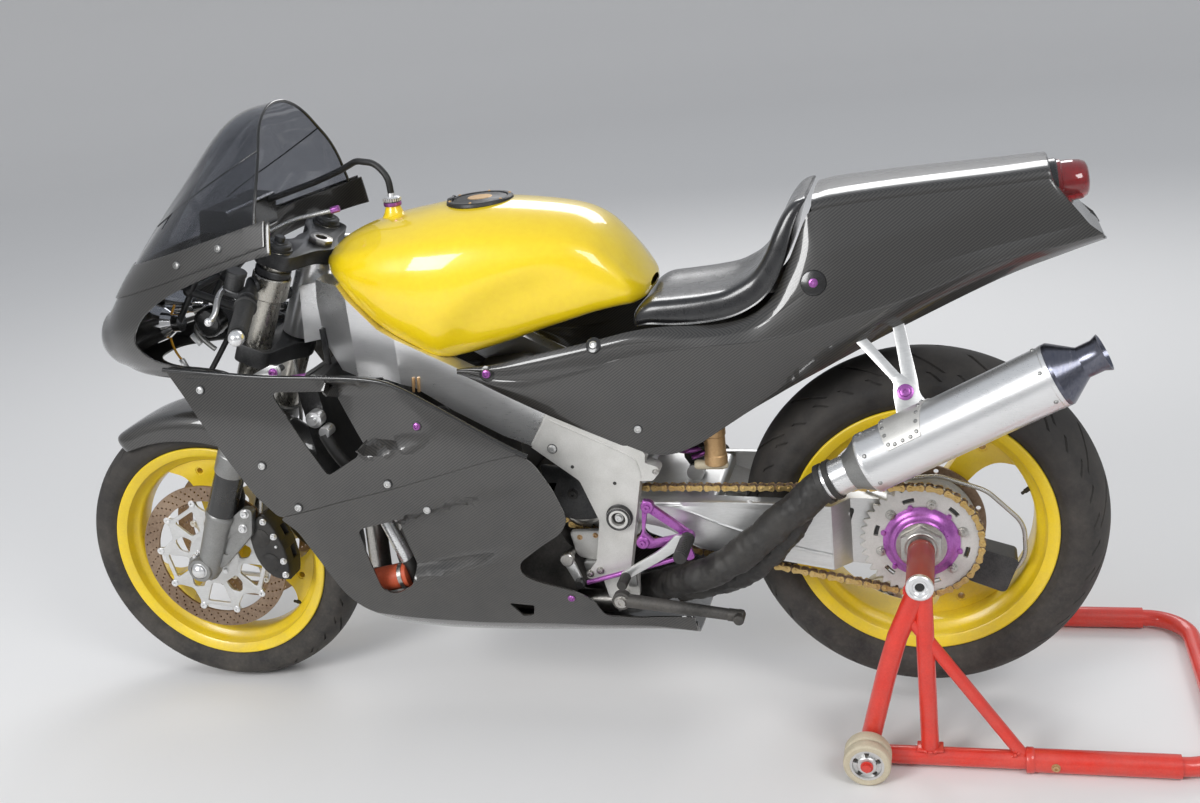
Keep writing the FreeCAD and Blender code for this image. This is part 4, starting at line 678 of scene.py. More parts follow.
TANK = (
    # x, floor, half floor, half waist, waist, half shoulder, shoulder, top
    (450, 812, 20, 34, 818, 26, 823, 826),
    (456, 801, 46, 68, 816, 52, 829, 836),
    (474, 795, 72, 98, 824, 72, 850, 866),
    (500, 794, 88, 112, 838, 80, 884, 904),
    (540, 788, 98, 126, 856, 90, 920, 942),
    (600, 772, 110, 142, 862, 104, 938, 964),
    (720, 738, 120, 160, 864, 118, 950, 980),
    (811, 722, 128, 167, 860, 122, 948, 978),
    (868, 742, 124, 162, 862, 116, 944, 971),
    (925, 776, 116, 152, 868, 108, 937, 962),
    (975, 816, 98, 132, 876, 94, 927, 949),
    (1012, 850, 70, 104, 884, 74, 917, 934),
    (1038, 870, 36, 70, 890, 50, 907, 917),
    (1050, 884, 12, 34, 892, 26, 899, 904),
)
KNEE_CREASE = ((842, 700), (838, 742), (819, 789), (774, 841), (714, 874), (640, 897), (560, 905))
KNEE_DEPTH = 15
KNEE_FADE = 60


def eased(share):
    share = min(max(share, 0), 1)
    return share * share * (3 - 2 * share)


def below_line(x, z, line):
    """Distance from a line in side view, positive under it; the line runs rearwards."""
    best = None
    for (x0, z0), (x1, z1) in zip(line, line[1:]):
        run = Vector((x1 - x0, z1 - z0))
        spot = Vector((x - x0, z - z0))
        share = min(max(spot.dot(run) / run.length_squared, 0), 1)
        gap = (spot - run * share).length
        side = run.x * spot.y - run.y * spot.x
        if best is None or gap < abs(best) - 0.001:
            best = gap if side > 0 else -gap
    return best


def tank_row(x, floor, low, waist, waist_z, shoulder, shoulder_z, top):
    half = [(0, floor), (low * 0.6, floor), (low, floor + 1), (low + (waist - low) * 0.62,
        floor + (waist_z - floor) * 0.22), (waist * 0.985, floor + (waist_z - floor) * 0.62),
        (waist, waist_z), (waist * 0.97, waist_z + (shoulder_z - waist_z) * 0.42),
        ((waist * 0.55 + shoulder * 0.45), waist_z + (shoulder_z - waist_z) * 0.78), (shoulder, shoulder_z),
        (shoulder * 0.72, shoulder_z + (top - shoulder_z) * 0.55), (shoulder * 0.4,
        shoulder_z + (top - shoulder_z) * 0.88), (0, top)]
    return mirrored_row(x, half)


tank = skin([tank_row(*row) for row in TANK], 96, 97, lap=True)
for vertex in tank.data.vertices:
    x = (vertex.co.x - REAR_AXLE_X) * 1000
    z = vertex.co.z * 1000
    under = below_line(x, z, KNEE_CREASE)
    sink = KNEE_DEPTH * eased(under / KNEE_FADE) * eased((x - 520) / 130) if under > 0 else 0
    reach = abs(vertex.co.y) * 1000
    vertex.co.y -= math.copysign(min(sink * eased(reach / 90), reach) / 1000, vertex.co.y)
outward(tank)
dressed(tank, "tank_shell", "tank_paint", "fuel_tank", angle=60)

# Side panels of the fairing

SIDE = (
    # x, low z, half width low, middle z, half width middle, high z, half width high
    (585, 250, 188, 440, 232, 620, 214),
    (800, 240, 196, 470, 244, 760, 216),
    (1060, 240, 198, 480, 246, 770, 222),
    (1335, 250, 170, 500, 226, 780, 214),
)
SEAM = ((1140, 460), (1095, 472), (1011, 495), (909, 519), (810, 546), (720, 569), (664, 578))
SCOOP_LOW_REAR = 920
SCOOP_HIGH_DEPTH, SCOOP_LOW_DEPTH = 30, 26
SCOOP_HIGH_TOP = ((960, 580), (900, 591), (843, 602), (800, 622), (740, 650))
SCOOP_LOW_TOP = ((930, 450), (918, 456), (822, 487), (744, 508), (698, 517), (630, 538))
SCOOP_LOW_FOOT = ((930, 318), (906, 326), (848, 337), (810, 347), (748, 366), (693, 385), (639, 412),
    (600, 439))


def side_half(x, z):
    """Half width of the fairing's side at a place on it, in millimetres."""
    rows = [row for row in SIDE if row[0] <= x]
    first = rows[-1] if rows else SIDE[0]
    second = SIDE[min(SIDE.index(first) + 1, len(SIDE) - 1)]
    share = 0 if second is first else (x - first[0]) / (second[0] - first[0])
    low, w_low, mid, w_mid, high, w_high = [a + (b - a) * share for a, b in zip(first[1:], second[1:])]
    foot = Vector((w_low, low))
    centre = circle_centre(foot, Vector((w_mid, mid)), Vector((w_high, high)))
    radius = (foot - Vector(centre)).length
    return centre[0] + math.sqrt(max(radius ** 2 - (z - centre[1]) ** 2, 1))


def side_depth(x, z):
    """As side_half, with the two scoops let in and the tail of the tray drawn in."""
    y = side_half(x, z)
    rear_high = 981 + (z - 644) * 0.448
    if x < rear_high:
        y -= (SCOOP_HIGH_DEPTH * eased(1 - (rear_high - x) / 165)
            * eased(-below_line(x, z, SCOOP_HIGH_TOP) / 16) * eased((722 - z) / 24))
    if x < SCOOP_LOW_REAR:
        y -= (SCOOP_LOW_DEPTH * eased((x - 640) / 250) * eased(below_line(x, z, SCOOP_LOW_TOP) / 14)
            * eased(-below_line(x, z, SCOOP_LOW_FOOT) / 30))
    tail = eased((600 - x) / 190)
    return y * (1 - tail) + 150 * tail


def bent_panel(outline, holes, depth, cell=11, lift=0, wall=PANEL_WALL):
    """Panel drawn flat in side view with its holes, sliced fine, and bowed to the body's width."""
    borders = [wire(side_outline(outline, 0, 12))]
    borders += [wire(side_outline(hole, 0, 14)) for hole in holes]
    for border in borders:
        choose(border)
        bpy.ops.object.mode_set(mode="EDIT")
        bpy.ops.mesh.select_all(action="DESELECT")
        bpy.ops.object.mode_set(mode="OBJECT")
        border.data.vertices[0].select = True
        border.data.vertices[-1].select = True
        bpy.ops.object.mode_set(mode="EDIT")
        bpy.ops.mesh.edge_face_add()
        bpy.ops.object.mode_set(mode="OBJECT")
    panel = joined(borders)
    bpy.ops.object.mode_set(mode="EDIT")
    bpy.ops.mesh.select_all(action="SELECT")
    bpy.ops.mesh.fill()
    low, high = [Vector(panel.bound_box[index]) for index in (0, 6)]
    for axis in (Vector((1, 0, 0)), UP):
        count = int((high - low).dot(axis) / (cell / 1000))
        for index in range(1, count + 1):
            bpy.ops.mesh.select_all(action="SELECT")
            bpy.ops.mesh.bisect(plane_co=low + axis * (index * cell / 1000), plane_no=axis)
    bpy.ops.mesh.select_all(action="SELECT")
    bpy.ops.mesh.remove_doubles(threshold=0.0001)
    bpy.ops.object.mode_set(mode="OBJECT")
    for vertex in panel.data.vertices:
        x = (vertex.co.x - REAR_AXLE_X) * 1000
        vertex.co.y = (depth(x, vertex.co.z * 1000) + lift) / 1000
    shelled(panel, ACROSS, wall, use_even_offset=True)
    return panel


UPPER_PANEL = [(1320, 744, 8), (1244, 737), (1142, 732, 30), (992, 724), (912, 718, 60), (862, 696, 30),
    (763, 640, 20), (668, 580, 3)] + list(SEAM[::-1]) + [(1180, 503), (1244, 613), (1287, 692)]
HIGH_SCOOP = [(1113, 703, 16), (1007, 702, 8), (955, 586, 12), (1023, 547, 10)]
LOWER_PANEL = list(SEAM) + [(641, 560, 30), (613, 513, 20), (593, 456, 14), (607, 430, 16), (653, 400, 20),
    (694, 368, 16), (694, 342, 16), (669, 326, 20), (607, 305, 30), (575, 282, 20), (560, 238, 14),
    (500, 226), (403, 224, 4), (399, 196, 3), (493, 207), (642, 222), (795, 228), (913, 236),
    (1008, 249, 30), (1044, 285, 30), (1080, 372), (1109, 433)]
LOW_SCOOP = [(988, 440, 16), (917, 457, 8), (899, 346, 14), (906, 318, 18), (945, 296, 18), (971, 304, 14)]
TRAY_HOLE = [(732, 276, 4), (686, 270, 4), (692, 246, 4), (712, 243, 4)]

upper_panel = bent_panel(UPPER_PANEL, [HIGH_SCOOP], side_depth)
lower_panel = bent_panel(LOWER_PANEL, [LOW_SCOOP, TRAY_HOLE], side_depth, lift=2)
left_panel = joined([upper_panel, lower_panel])
right_panel = copied(left_panel, OVER)
dressed(left_panel, "fairing_left", "carbon", "side_fairing_left")
dressed(right_panel, "fairing_right", "carbon", "side_fairing_right")

# Belly

BELLY = (
    # x, edge height, half floor, floor height
    (399, 200, 88, 178),
    (493, 210, 96, 172),
    (642, 226, 102, 168),
    (795, 232, 106, 168),
    (913, 240, 108, 172),
    (1008, 255, 100, 184),
    (1046, 290, 84, 214),
)


def belly_row(x, edge, half_floor, floor):
    y = side_depth(x, edge) - 4
    half = [(y, edge + 10), (y - 3, edge), (y - 14, edge - 16), ((y + half_floor) / 2,
        (edge + floor) / 2 - 8), (half_floor, floor), (half_floor * 0.5, floor - 1), (0, floor - 1)]
    return mirrored_row(x, half, False)


belly = skin([belly_row(*row) for row in BELLY], 40, 49)
shelled(belly, Vector((0, 0, -1)), use_even_offset=True)
dressed(belly, "belly_tray", "carbon", "belly_pan", angle=50)

# Tail

TAIL = (
    # lower edge, ridge, crease and top edge, each (x, z, y)
    ((786, 703, 156), (786, 706, 157), (786, 708, 157), (786, 711, 156)),
    ((760, 691, 157), (761, 700, 159), (762, 707, 159), (763, 714, 156)),
    ((711, 664, 158), (711, 690, 161), (712, 704, 160), (714, 717, 155)),
    ((636, 625, 158), (636, 690, 162), (637, 712, 161), (640, 732, 154)),
    ((541, 580, 157), (541, 708, 163), (541, 732, 160), (543, 751, 152)),
    ((472, 549, 153), (470, 724, 163), (470, 746, 159), (470, 766, 148)),
    ((420, 541, 149), (416, 731, 162), (416, 750, 157), (416, 770, 140)),
    ((372, 556, 143), (366, 736, 160), (366, 752, 154), (364, 768, 132)),
    ((328, 582, 139), (322, 739, 159), (322, 754, 152), (320, 768, 128)),
    ((276, 614, 134), (270, 741, 157), (268, 760, 148), (266, 780, 124)),
    ((236, 636, 130), (232, 745, 155), (229, 778, 144), (226, 812, 119)),
    ((205, 653, 127), (202, 751, 153), (198, 800, 140), (196, 872, 112)),
    ((178, 667, 124), (172, 759, 151), (166, 820, 138), (170, 930, 103)),
    ((150, 681, 121), (142, 767, 149), (128, 832, 137), (158, 944, 99)),
    ((119, 697, 118), (104, 777, 146), (84, 837, 134), (122, 950, 97)),
    ((21, 745, 106), (5, 803, 136), (-10, 850, 124), (15, 958, 92)),
    ((-134, 814, 86), (-118, 846, 116), (-122, 873, 106), (-138, 966, 84)),
    ((-238, 848, 70), (-230, 868, 98), (-230, 892, 92), (-204, 970, 78)),
    ((-300, 866, 60), (-291, 880, 84), (-267, 900, 86), (-213, 969, 77)),
)


def tail_row(keys, side=1):
    """Points from the lower edge to the top edge, close together where the body is creased."""
    places = [bike(x, y * side, z) for x, z, y in keys]
    row = [places[0]]
    for (first, last), bulge in zip(zip(places, places[1:]), (0.004, 0.0005, 0.003)):
        swell = ACROSS * (bulge * side)
        row += [first.lerp(last, 0.12) + swell * 0.4, first.lerp(last, 0.5) + swell,
            first.lerp(last, 0.88) + swell * 0.4, last]
    return row


def tail_over(keys):
    """Points from the left top edge over the hump to the right one."""
    x, z, y = keys[3]
    half = [(y + 0.5, z - 5), (y - 1, z + 6), (y * 0.9, z + 15), (y * 0.65, z + 20), (y * 0.3, z + 22.5),
        (0, z + 23)]
    return mirrored_row(x, half, False)


tail_side = skin([tail_row(keys) for keys in TAIL], 110, 49)
shelled(tail_side, ACROSS)
dressed(with_twin(tail_side), "tail_sides", "carbon", "seat_cowl", angle=50)
hump = skin([tail_over(keys) for keys in TAIL[13:]], 48, 41)
shelled(hump, UP)
dressed(hump, "tail_hump", "carbon", angle=40)

TAIL_END = (
    # height, distance back, half width
    (960, -221, 79), (940, -237, 82), (915, -257, 85), (895, -273, 85), (872, -296, 76),
)
last_over = tail_over(TAIL[-1])
shares = [place.y / last_over[0].y for place in last_over]
end_rows = [last_over] + [[bike(x, half * share, z) for share in shares] for z, x, half in TAIL_END]
tail_end = skin(end_rows, 24, 25)
shelled(tail_end, Vector((-1, 0, 0)), 0.003)
dressed(tail_end, "tail_back", "carbon", angle=50)

# Nose and screen

NOSE = (
    # x, floor, half floor, half waist, waist, half shoulder, shoulder, top
    (1544, 752, 8, 20, 762, 10, 770, 774),
    (1536, 736, 40, 76, 764, 40, 784, 792),
    (1514, 726, 68, 112, 776, 64, 816, 830),
    (1480, 716, 92, 140, 790, 84, 842, 862),
    (1414, 710, 132, 176, 830, 96, 918, 950),
    (1300, 706, 166, 202, 900, 104, 1030, 1068),
    (1207, 700, 178, 208, 940, 112, 1104, 1158),
    (1130, 694, 182, 210, 965, 116, 1118, 1180),
    (1070, 690, 184, 210, 982, 120, 1122, 1182),
)


def arc_through(first, middle, last, count):
    """Places on the arc through three (y, z) points."""
    a, b, c = Vector(first), Vector(middle), Vector(last)
    centre = Vector(circle_centre(a, b, c))
    start, end = a - centre, c - centre
    turn = start.angle_signed(end)
    if start.angle_signed(b - centre) * turn < 0:
        turn -= math.copysign(math.tau, turn)
    return [tuple(centre + Matrix.Rotation(-turn * step / (count - 1), 2) @ start) for step in range(count)]


def hood_row(x, floor, low, waist, waist_z, shoulder, shoulder_z, top):
    side = arc_through((low, floor), (waist, waist_z), (shoulder, shoulder_z), 13)
    crown = arc_through((shoulder, shoulder_z), (0, top), (-shoulder, shoulder_z), 13)
    half = [(0, floor), (low * 0.5, floor)] + side + crown[1:7]
    return mirrored_row(x, half)


def sliced(piece, points, keep):
    """Keeps the part of a piece on one side of a plane across the bike through two side view points."""
    (x0, z0), (x1, z1) = points
    along = Vector((x1 - x0, 0, z1 - z0))
    normal = along.cross(ACROSS).normalized()
    if normal.dot(Vector((keep[0] - x0, 0, keep[1] - z0))) < 0:
        normal = -normal
    choose(piece)
    return edited(lambda: bpy.ops.mesh.bisect(plane_co=bike(x0, 0, z0), plane_no=normal, clear_inner=True))


hood = skin([hood_row(*row) for row in NOSE], 90, 145, lap=True)
outward(hood)
SCREEN_FOOT = ((1440, 905), (1075, 1000))
screen = sliced(copied(hood, Matrix()), SCREEN_FOOT, (1200, 1200))
for rear in (((1098, 990), (1099, 1080)), ((1099, 1080), (1124, 1192))):
    sliced(screen, rear, (1300, 1000))
shelled(screen, Vector((0.5, 0, 1)), 0.003)
rounded(screen, 0.001, 2, 50)
dressed(screen, "screen_bubble", "screen", "windscreen", angle=40)

strip = sliced(copied(hood, Matrix()), ((1440, 909), (1075, 1004)), (1200, 700))
sliced(strip, ((1440, 862), (1075, 962)), (1200, 1200))
sliced(strip, ((1078, 900), (1078, 1000)), (1300, 950))
shelled(strip, Vector((0.5, 0, 1)), 0.003, offset=1)
rounded(strip, 0.0008, 2, 50)
dressed(strip, "screen_foot_strip", "carbon", angle=40)

cowl = sliced(hood, SCREEN_FOOT, (1200, 700))
shelled(cowl, Vector((1, 0, 0)))
WINDOW = [(1040, 952, 3), (1095, 942), (1146, 930, 40), (1231, 903, 60), (1308, 873, 60), (1370, 832, 50),
    (1402, 787, 24), (1372, 750, 26), (1270, 728, 60), (1148, 714, 20), (1040, 706, 3)]
WELL = [(1060, -166), (1060, 166), (1205, 162, 30), (1262, 112, 60), (1392, 84, 60), (1448, 40, 30),
    (1448, -40, 30), (1392, -84, 60), (1262, -112, 60), (1205, -162, 30)]
well = plate([bike(spot.x, spot.y, 640) for spot in softened(WELL, 10)], Vector((0, 0, 0.13)))
cut(cowl, plate(side_outline(WINDOW, -300, 12), ACROSS * 0.6), well)
rounded(cowl, 0.0012, 2, 45)
dressed(cowl, "nose_hood", "carbon", "nose_cowl", angle=40)


def fastener(place, normal, radius):
    """Quarter turn screw head in a dished washer, set on a panel."""
    normal = normal.normalized()
    washer = lathe(place, normal, ((0.001, 1.2), (radius * 0.7, 1.2), (radius, 0.4), (radius * 1.08, -1.5),
        (0.001, -1.5)), 24)
    head = lathe(place, normal, ((0.001, 3.2), (radius * 0.34, 3.2), (radius * 0.4, 1.6),
        (radius * 0.46, 4), (radius * 0.72, 3.4), (radius * 0.86, 1.6), (radius * 0.86, 0.4), (0.001, 0.4)),
        24)
    return head, washer


def fastened(name, slot, places, radius=8):
    heads, washers = zip(*[fastener(place, normal, radius) for place, normal in places])
    dressed(list(heads), name, slot, angle=30)
    dressed(list(washers), name + "_washers", "dark_alloy", angle=30)


def panel_spot(x, z, lift=2):
    y = side_depth(x, z) + lift
    slope = (side_half(x, z + 10) - side_half(x, z - 10)) / 20
    return bike(x, y, z), Vector((0, 1, -slope))


steel_spots = [panel_spot(*spot) for spot in ((1095, 484), (911, 531), (1253, 709), (1152, 566), (845, 480))]
purple_spots = [panel_spot(*spot) for spot in ((842, 636), (613, 288))]
fastened("fairing_screws", "satin_alloy", both_sides(steel_spots))
fastened("fairing_purple_screws", "purple_alloy", both_sides(purple_spots))

# Black rolled edge along the top of the side panels, and the ledge inside it

EDGE_LINE = ((1326, 745), (1244, 738), (1123, 727), (992, 724), (914, 717), (872, 703), (779, 650),
    (676, 583), (652, 572))
edge = tube([bike(x, side_depth(x, min(z, 744)) - 1.5, z + 1) for x, z in EDGE_LINE], 4.2, sides=5)
LEDGE = ((1352, 735, 168, 166), (1290, 731, 222, 178), (1200, 727, 224, 184), (1100, 722, 222, 180),
    (1000, 720, 221, 178), (920, 714, 220, 176))
ledge = skin([[bike(x, outer, z), bike(x, outer * 0.6 + inner * 0.4, z - 1), bike(x, inner, z - 8),
    bike(x, inner - 3, z - 16)] for x, z, outer, inner in LEDGE], 24, 10)
shelled(ledge, UP, 0.003)
dressed(with_twin([edge, ledge]), "fairing_rolled_edges", "black_plastic", angle=50)

# Seat pad and back pad

SEAT_LINE = (
    # x and height of the pad's foot, its thickness, half width
    ((470, 762), 6, 100), ((462, 764), 26, 112), ((440, 768), 38, 118), ((400, 766), 44, 121),
    ((350, 768), 46, 123), ((300, 776), 46, 123), ((262, 792), 46, 122), ((236, 812), 44, 121),
    ((218, 838), 40, 121), ((204, 870), 35, 120), ((194, 903), 30, 117), ((184, 932), 24, 112),
    ((174, 952), 17, 106), ((166, 964), 6, 98),
)


def seat_rows():
    places = [Vector((x, z)) for (x, z), _, _ in SEAT_LINE]
    rows = []
    for index, ((x, z), thick, half) in enumerate(SEAT_LINE):
        ahead = places[max(index - 1, 0)] - places[min(index + 1, len(places) - 1)]
        normal = Vector((-ahead.y, ahead.x)).normalized()
        if normal.y < 0 and normal.x < 0:
            normal = -normal
        section = [(-half, 0.12), (-half - 1, 0.45), (-half + 3, 0.8), (-half + 14, 0.97), (-half * 0.6, 1),
            (-half * 0.25, 0.94), (0, 0.92), (half * 0.25, 0.94), (half * 0.6, 1), (half - 14, 0.97),
            (half - 3, 0.8), (half + 1, 0.45), (half, 0.12), (half - 10, 0), (0, 0), (-half + 10, 0)]
        rows.append([bike(x + normal.x * thick * share, y, z + normal.y * thick * share)
            for y, share in section])
    middle_first = sum(rows[0], Vector()) / len(rows[0])
    middle_last = sum(rows[-1], Vector()) / len(rows[-1])
    close = [[middle_first.lerp(place, 0.6) for place in rows[0]], [middle_last.lerp(place, 0.6)
        for place in rows[-1]]]
    return [close[0]] + rows + [close[1]]


def capped(piece):
    """Closes the open ends of a skin and turns its faces out."""
    choose(piece)
    bpy.ops.object.mode_set(mode="EDIT")
    bpy.ops.mesh.select_all(action="DESELECT")
    bpy.ops.mesh.select_mode(type="EDGE")
    bpy.ops.mesh.select_non_manifold()
    bpy.ops.mesh.edge_face_add()
    bpy.ops.mesh.select_mode(type="VERT")
    bpy.ops.object.mode_set(mode="OBJECT")
    return edited(faces_out)


seat = capped(skin(seat_rows(), 90, 81, lap=True))
dressed(seat, "seat_cushion", "seat_foam", "seat_pad", angle=60)

# Tail light

LIGHT = bike(-218, 0, 948)
LIGHT_AXIS = Vector((-1, 0, 0.08)).normalized()
LIGHT_SPREAD = 1.18


def widened(piece):
    """Stretches a part of the tail light across the bike."""
    for vertex in piece.data.vertices:
        vertex.co.y *= LIGHT_SPREAD
    return piece


lens = lathe(LIGHT, LIGHT_AXIS, ((0.001, 60), (12, 59.5), (22, 58), (28, 54), (31.5, 46), (33, 34),
    (33.5, 18), (36, 16), (36, 4), (0.001, 4)), 48)
dressed(widened(lens), "tail_light_lens", "lens_red", "tail_light", angle=35)
collar = lathe(LIGHT, LIGHT_AXIS, ((34, -2), (39, -2), (39, 9), (37.5, 11), (36.2, 11)), 48)
dressed(widened(collar), "tail_light_collar", "black_plastic", angle=35)

# Wheels

LEFT = ACROSS


def wheel_place(hub, angle, radius, y):
    """Place on a wheel: degrees up from the rear as seen from the left, radius, place on the axle."""
    turn = math.radians(angle)
    return hub + mm(-math.cos(turn) * radius, y, math.sin(turn) * radius)


def wheel_outline(hub, spots, y, radius=0, steps=4):
    """Outline on a wheel from (across, out) points of a spoke that points straight up."""
    return [hub + mm(spot.x, y, spot.y) for spot in flat_outline(spots, radius, steps)]


TREAD_STEPS = 216
FRONT_SECTION = ((226, 42), (233, 47.5), (238, 53), (241, 55), (243.5, 57.2), (252, 59.3), (255, 59.2),
    (257, 59.9), (266, 59.6), (273, 57), (280, 49.5), (286, 39), (290, 28), (292.7, 15), (294, 0))
REAR_SECTION = ((226, 60), (233, 66), (239, 73), (242, 76), (245, 79.5), (256, 84), (259, 84.2),
    (261, 85.2), (272, 85.6), (284, 79.5), (296, 66), (307, 47.5), (314, 29), (317.6, 13), (319, 0))


def tyre_with_grooves(hub, section, name, body, node, twist, groups):
    """Tyre turned from half its section, its grooves pressed in along lines that sweep back."""
    finer = list(section[:9])
    for (r0, y0), (r1, y1) in zip(section[8:], section[9:]):
        finer += [((r0 + r1) / 2 + 0.35, (y0 + y1) / 2 + 0.35), (r1, y1)]
    profile = finer + [(radius, -along) for radius, along in reversed(finer[:-1])]
    piece = lathe(hub, LEFT, profile, TREAD_STEPS)
    mesh = piece.data
    grooves = []
    for face in mesh.polygons:
        middle = face.center - hub
        radius = math.hypot(middle.x, middle.z) * 1000
        column = int((math.degrees(math.atan2(middle.z, middle.x)) % 360) / 360 * TREAD_STEPS)
        along = middle.y * 1000
        for count, shift, low, high in groups:
            period = TREAD_STEPS // count
            if radius > section[7][0] and low < along * (1 if shift >= 0 else -1) < high:
                if column % period == abs(shift) % period:
                    grooves.append(face.index)
    choose(piece)
    bpy.ops.object.mode_set(mode="EDIT")
    bpy.ops.mesh.select_mode(type="FACE")
    bpy.ops.mesh.select_all(action="DESELECT")
    bpy.ops.object.mode_set(mode="OBJECT")
    for index in grooves:
        mesh.polygons[index].select = True
    bpy.ops.object.mode_set(mode="EDIT")
    bpy.ops.mesh.extrude_region_shrink_fatten(TRANSFORM_OT_shrink_fatten={"value": -0.0035})
    bpy.ops.mesh.select_mode(type="VERT")
    bpy.ops.object.mode_set(mode="OBJECT")
    for vertex in mesh.vertices:
        offset = vertex.co - hub
        turn = twist * (abs(offset.y) * 1000 / section[8][1]) ** 1.4
        vertex.co = hub + Matrix.Rotation(turn, 3, LEFT) @ offset
    return dressed(piece, name, "tyre_rubber", node, body=body, angle=38)


tyre_with_grooves(FRONT_HUB, FRONT_SECTION, "front_tyre_rubber", "front_wheel", "front_tyre", 0.34,
    ((18, 2, 12, 46), (18, -8, 12, 46), (36, 5, 48, 56), (36, -5, 48, 56)))
tyre_with_grooves(REAR_HUB, REAR_SECTION, "rear_tyre_rubber", "rear_wheel", "rear_tyre", -0.36,
    ((18, 2, 12, 62), (18, -8, 12, 62), (36, 5, 64, 78), (36, -5, 64, 78)))


def barrel(hub, half):
    """Drop centre rim with its broad outer lip, the step behind it and the bead inside."""
    side = [(232, half - 3), (231, half - 0.8), (229, half), (214, half - 5), (211.5, half - 7),
        (209, half - 20), (206, half - 25), (198, half - 29), (194.5, half - 32), (193, half - 37)]
    outside = [(201, half - 37), (208, half - 32), (218, half - 30), (218.8, half - 12), (221, half - 9),
        (230, half - 7)]
    profile = (side + [(radius, -along) for radius, along in reversed(side)] + [(radius, -along)
        for radius, along in reversed(outside)] + outside)
    return hollow(hub, LEFT, profile, 144)


SPOKE = [(-24, 20, 2), (-19, 92, 40), (-23, 136, 50), (-38, 164, 30), (-73, 180, 3), (-75, 185, 0.1),
    (-40, 196, 0.1), (0, 199.5, 0.1), (40, 196, 0.1), (75, 185, 0.1), (73, 180, 3), (38, 164, 30),
    (23, 136, 50), (19, 92, 40), (24, 20, 2)]


SPOKE_HOLE = 171


def spokes(hub, middle, angle, edge=0.0065):
    """Three flared spokes with a small hole near the rim in each."""
    reach = 18.5
    blade = plate(wheel_outline(hub, SPOKE, middle - reach, 2, 6), LEFT * (2 * reach / 1000))
    rounded(blade, edge, 4, 50)
    hole = rod(hub + mm(0, middle - 40, SPOKE_HOLE), hub + mm(0, middle + 40, SPOKE_HOLE), 6.5, 24, 0)
    cut(blade, hole)
    dish = [rod(hub + mm(0, middle + side * 17, SPOKE_HOLE), hub + mm(0, middle + side * 21, SPOKE_HOLE),
        9.5, 24, 0) for side in (-1, 1)]
    cut(blade, *dish)
    return around(blade, hub, LEFT, 3, angle - 90)


def valve(hub, angle, half):
    root = wheel_place(hub, angle, 199, half - 42)
    tip = wheel_place(hub, angle, 180, half - 26)
    body = rod(root, root.lerp(tip, 0.7), 4.2, 12, 0.0006)
    return joined([body, rod(root.lerp(tip, 0.65), tip, 3, 10, 0.0006)])


front_hub = hollow(FRONT_HUB, LEFT, ((12.7, 53.5), (23.5, 53.5), (25, 50), (32, 46), (35, 34), (36, 18),
    (36, -18), (35, -34), (32, -46), (25, -50), (23.5, -53.5), (12.7, -53.5)), 64)
dressed([barrel(FRONT_HUB, 52), spokes(FRONT_HUB, 0, 98), front_hub], "front_wheel_casting", "wheel_paint",
    "front_rim", body="front_wheel", angle=40)
rear_hub = hollow(REAR_HUB, LEFT, ((30.6, 15.6), (50, 15.6), (56, 12), (58, 4), (58, -40), (57, -52),
    (53, -57.5), (40, -58), (30.6, -58)), 64)
dressed([barrel(REAR_HUB, 70), spokes(REAR_HUB, -12, 52), rear_hub], "rear_wheel_casting", "wheel_paint",
    "rear_rim", body="rear_wheel", angle=40)
dressed(valve(FRONT_HUB, -42, 52), "front_valve", "black_steel", body="front_wheel")
dressed(valve(REAR_HUB, 20, 70), "rear_valve", "black_steel", body="rear_wheel")

# Front brake discs, their carriers and bobbins

DISC_Y = 66


def rotor(hub, outer, inner, y, thick, rows, count, lean):
    """Disc with slanted rows of small vent holes."""
    half = thick / 2
    ring = hollow(hub, LEFT, ((inner, y - half), (outer - 0.5, y - half), (outer, y - half + 0.5),
        (outer, y + half - 0.5), (outer - 0.5, y + half), (inner, y + half)), 120)
    holes = []
    for row, radius in enumerate(rows):
        for index in range(count):
            angle = 360 * index / count + row * lean
            holes.append(rod(wheel_place(hub, angle, radius, y - 6), wheel_place(hub, angle, radius, y + 6),
                2.3, 8, 0))
    return cut(ring, joined(holes))


disc = rotor(FRONT_HUB, 157, 124.2, DISC_Y, 5, (130.5, 137.5, 144.5, 151), 40, 2.6)
dressed(with_twin(disc), "front_brake_rotors", "rotor_iron", "front_discs", body="front_wheel", angle=30)

PAIRS = 5


def polar(radius, angle):
    turn = math.radians(angle)
    return radius * math.sin(turn), radius * math.cos(turn)


def polar_place(hub, radius, angle):
    return hub + Vector((*polar(radius, angle), 0)).xzy / 1000


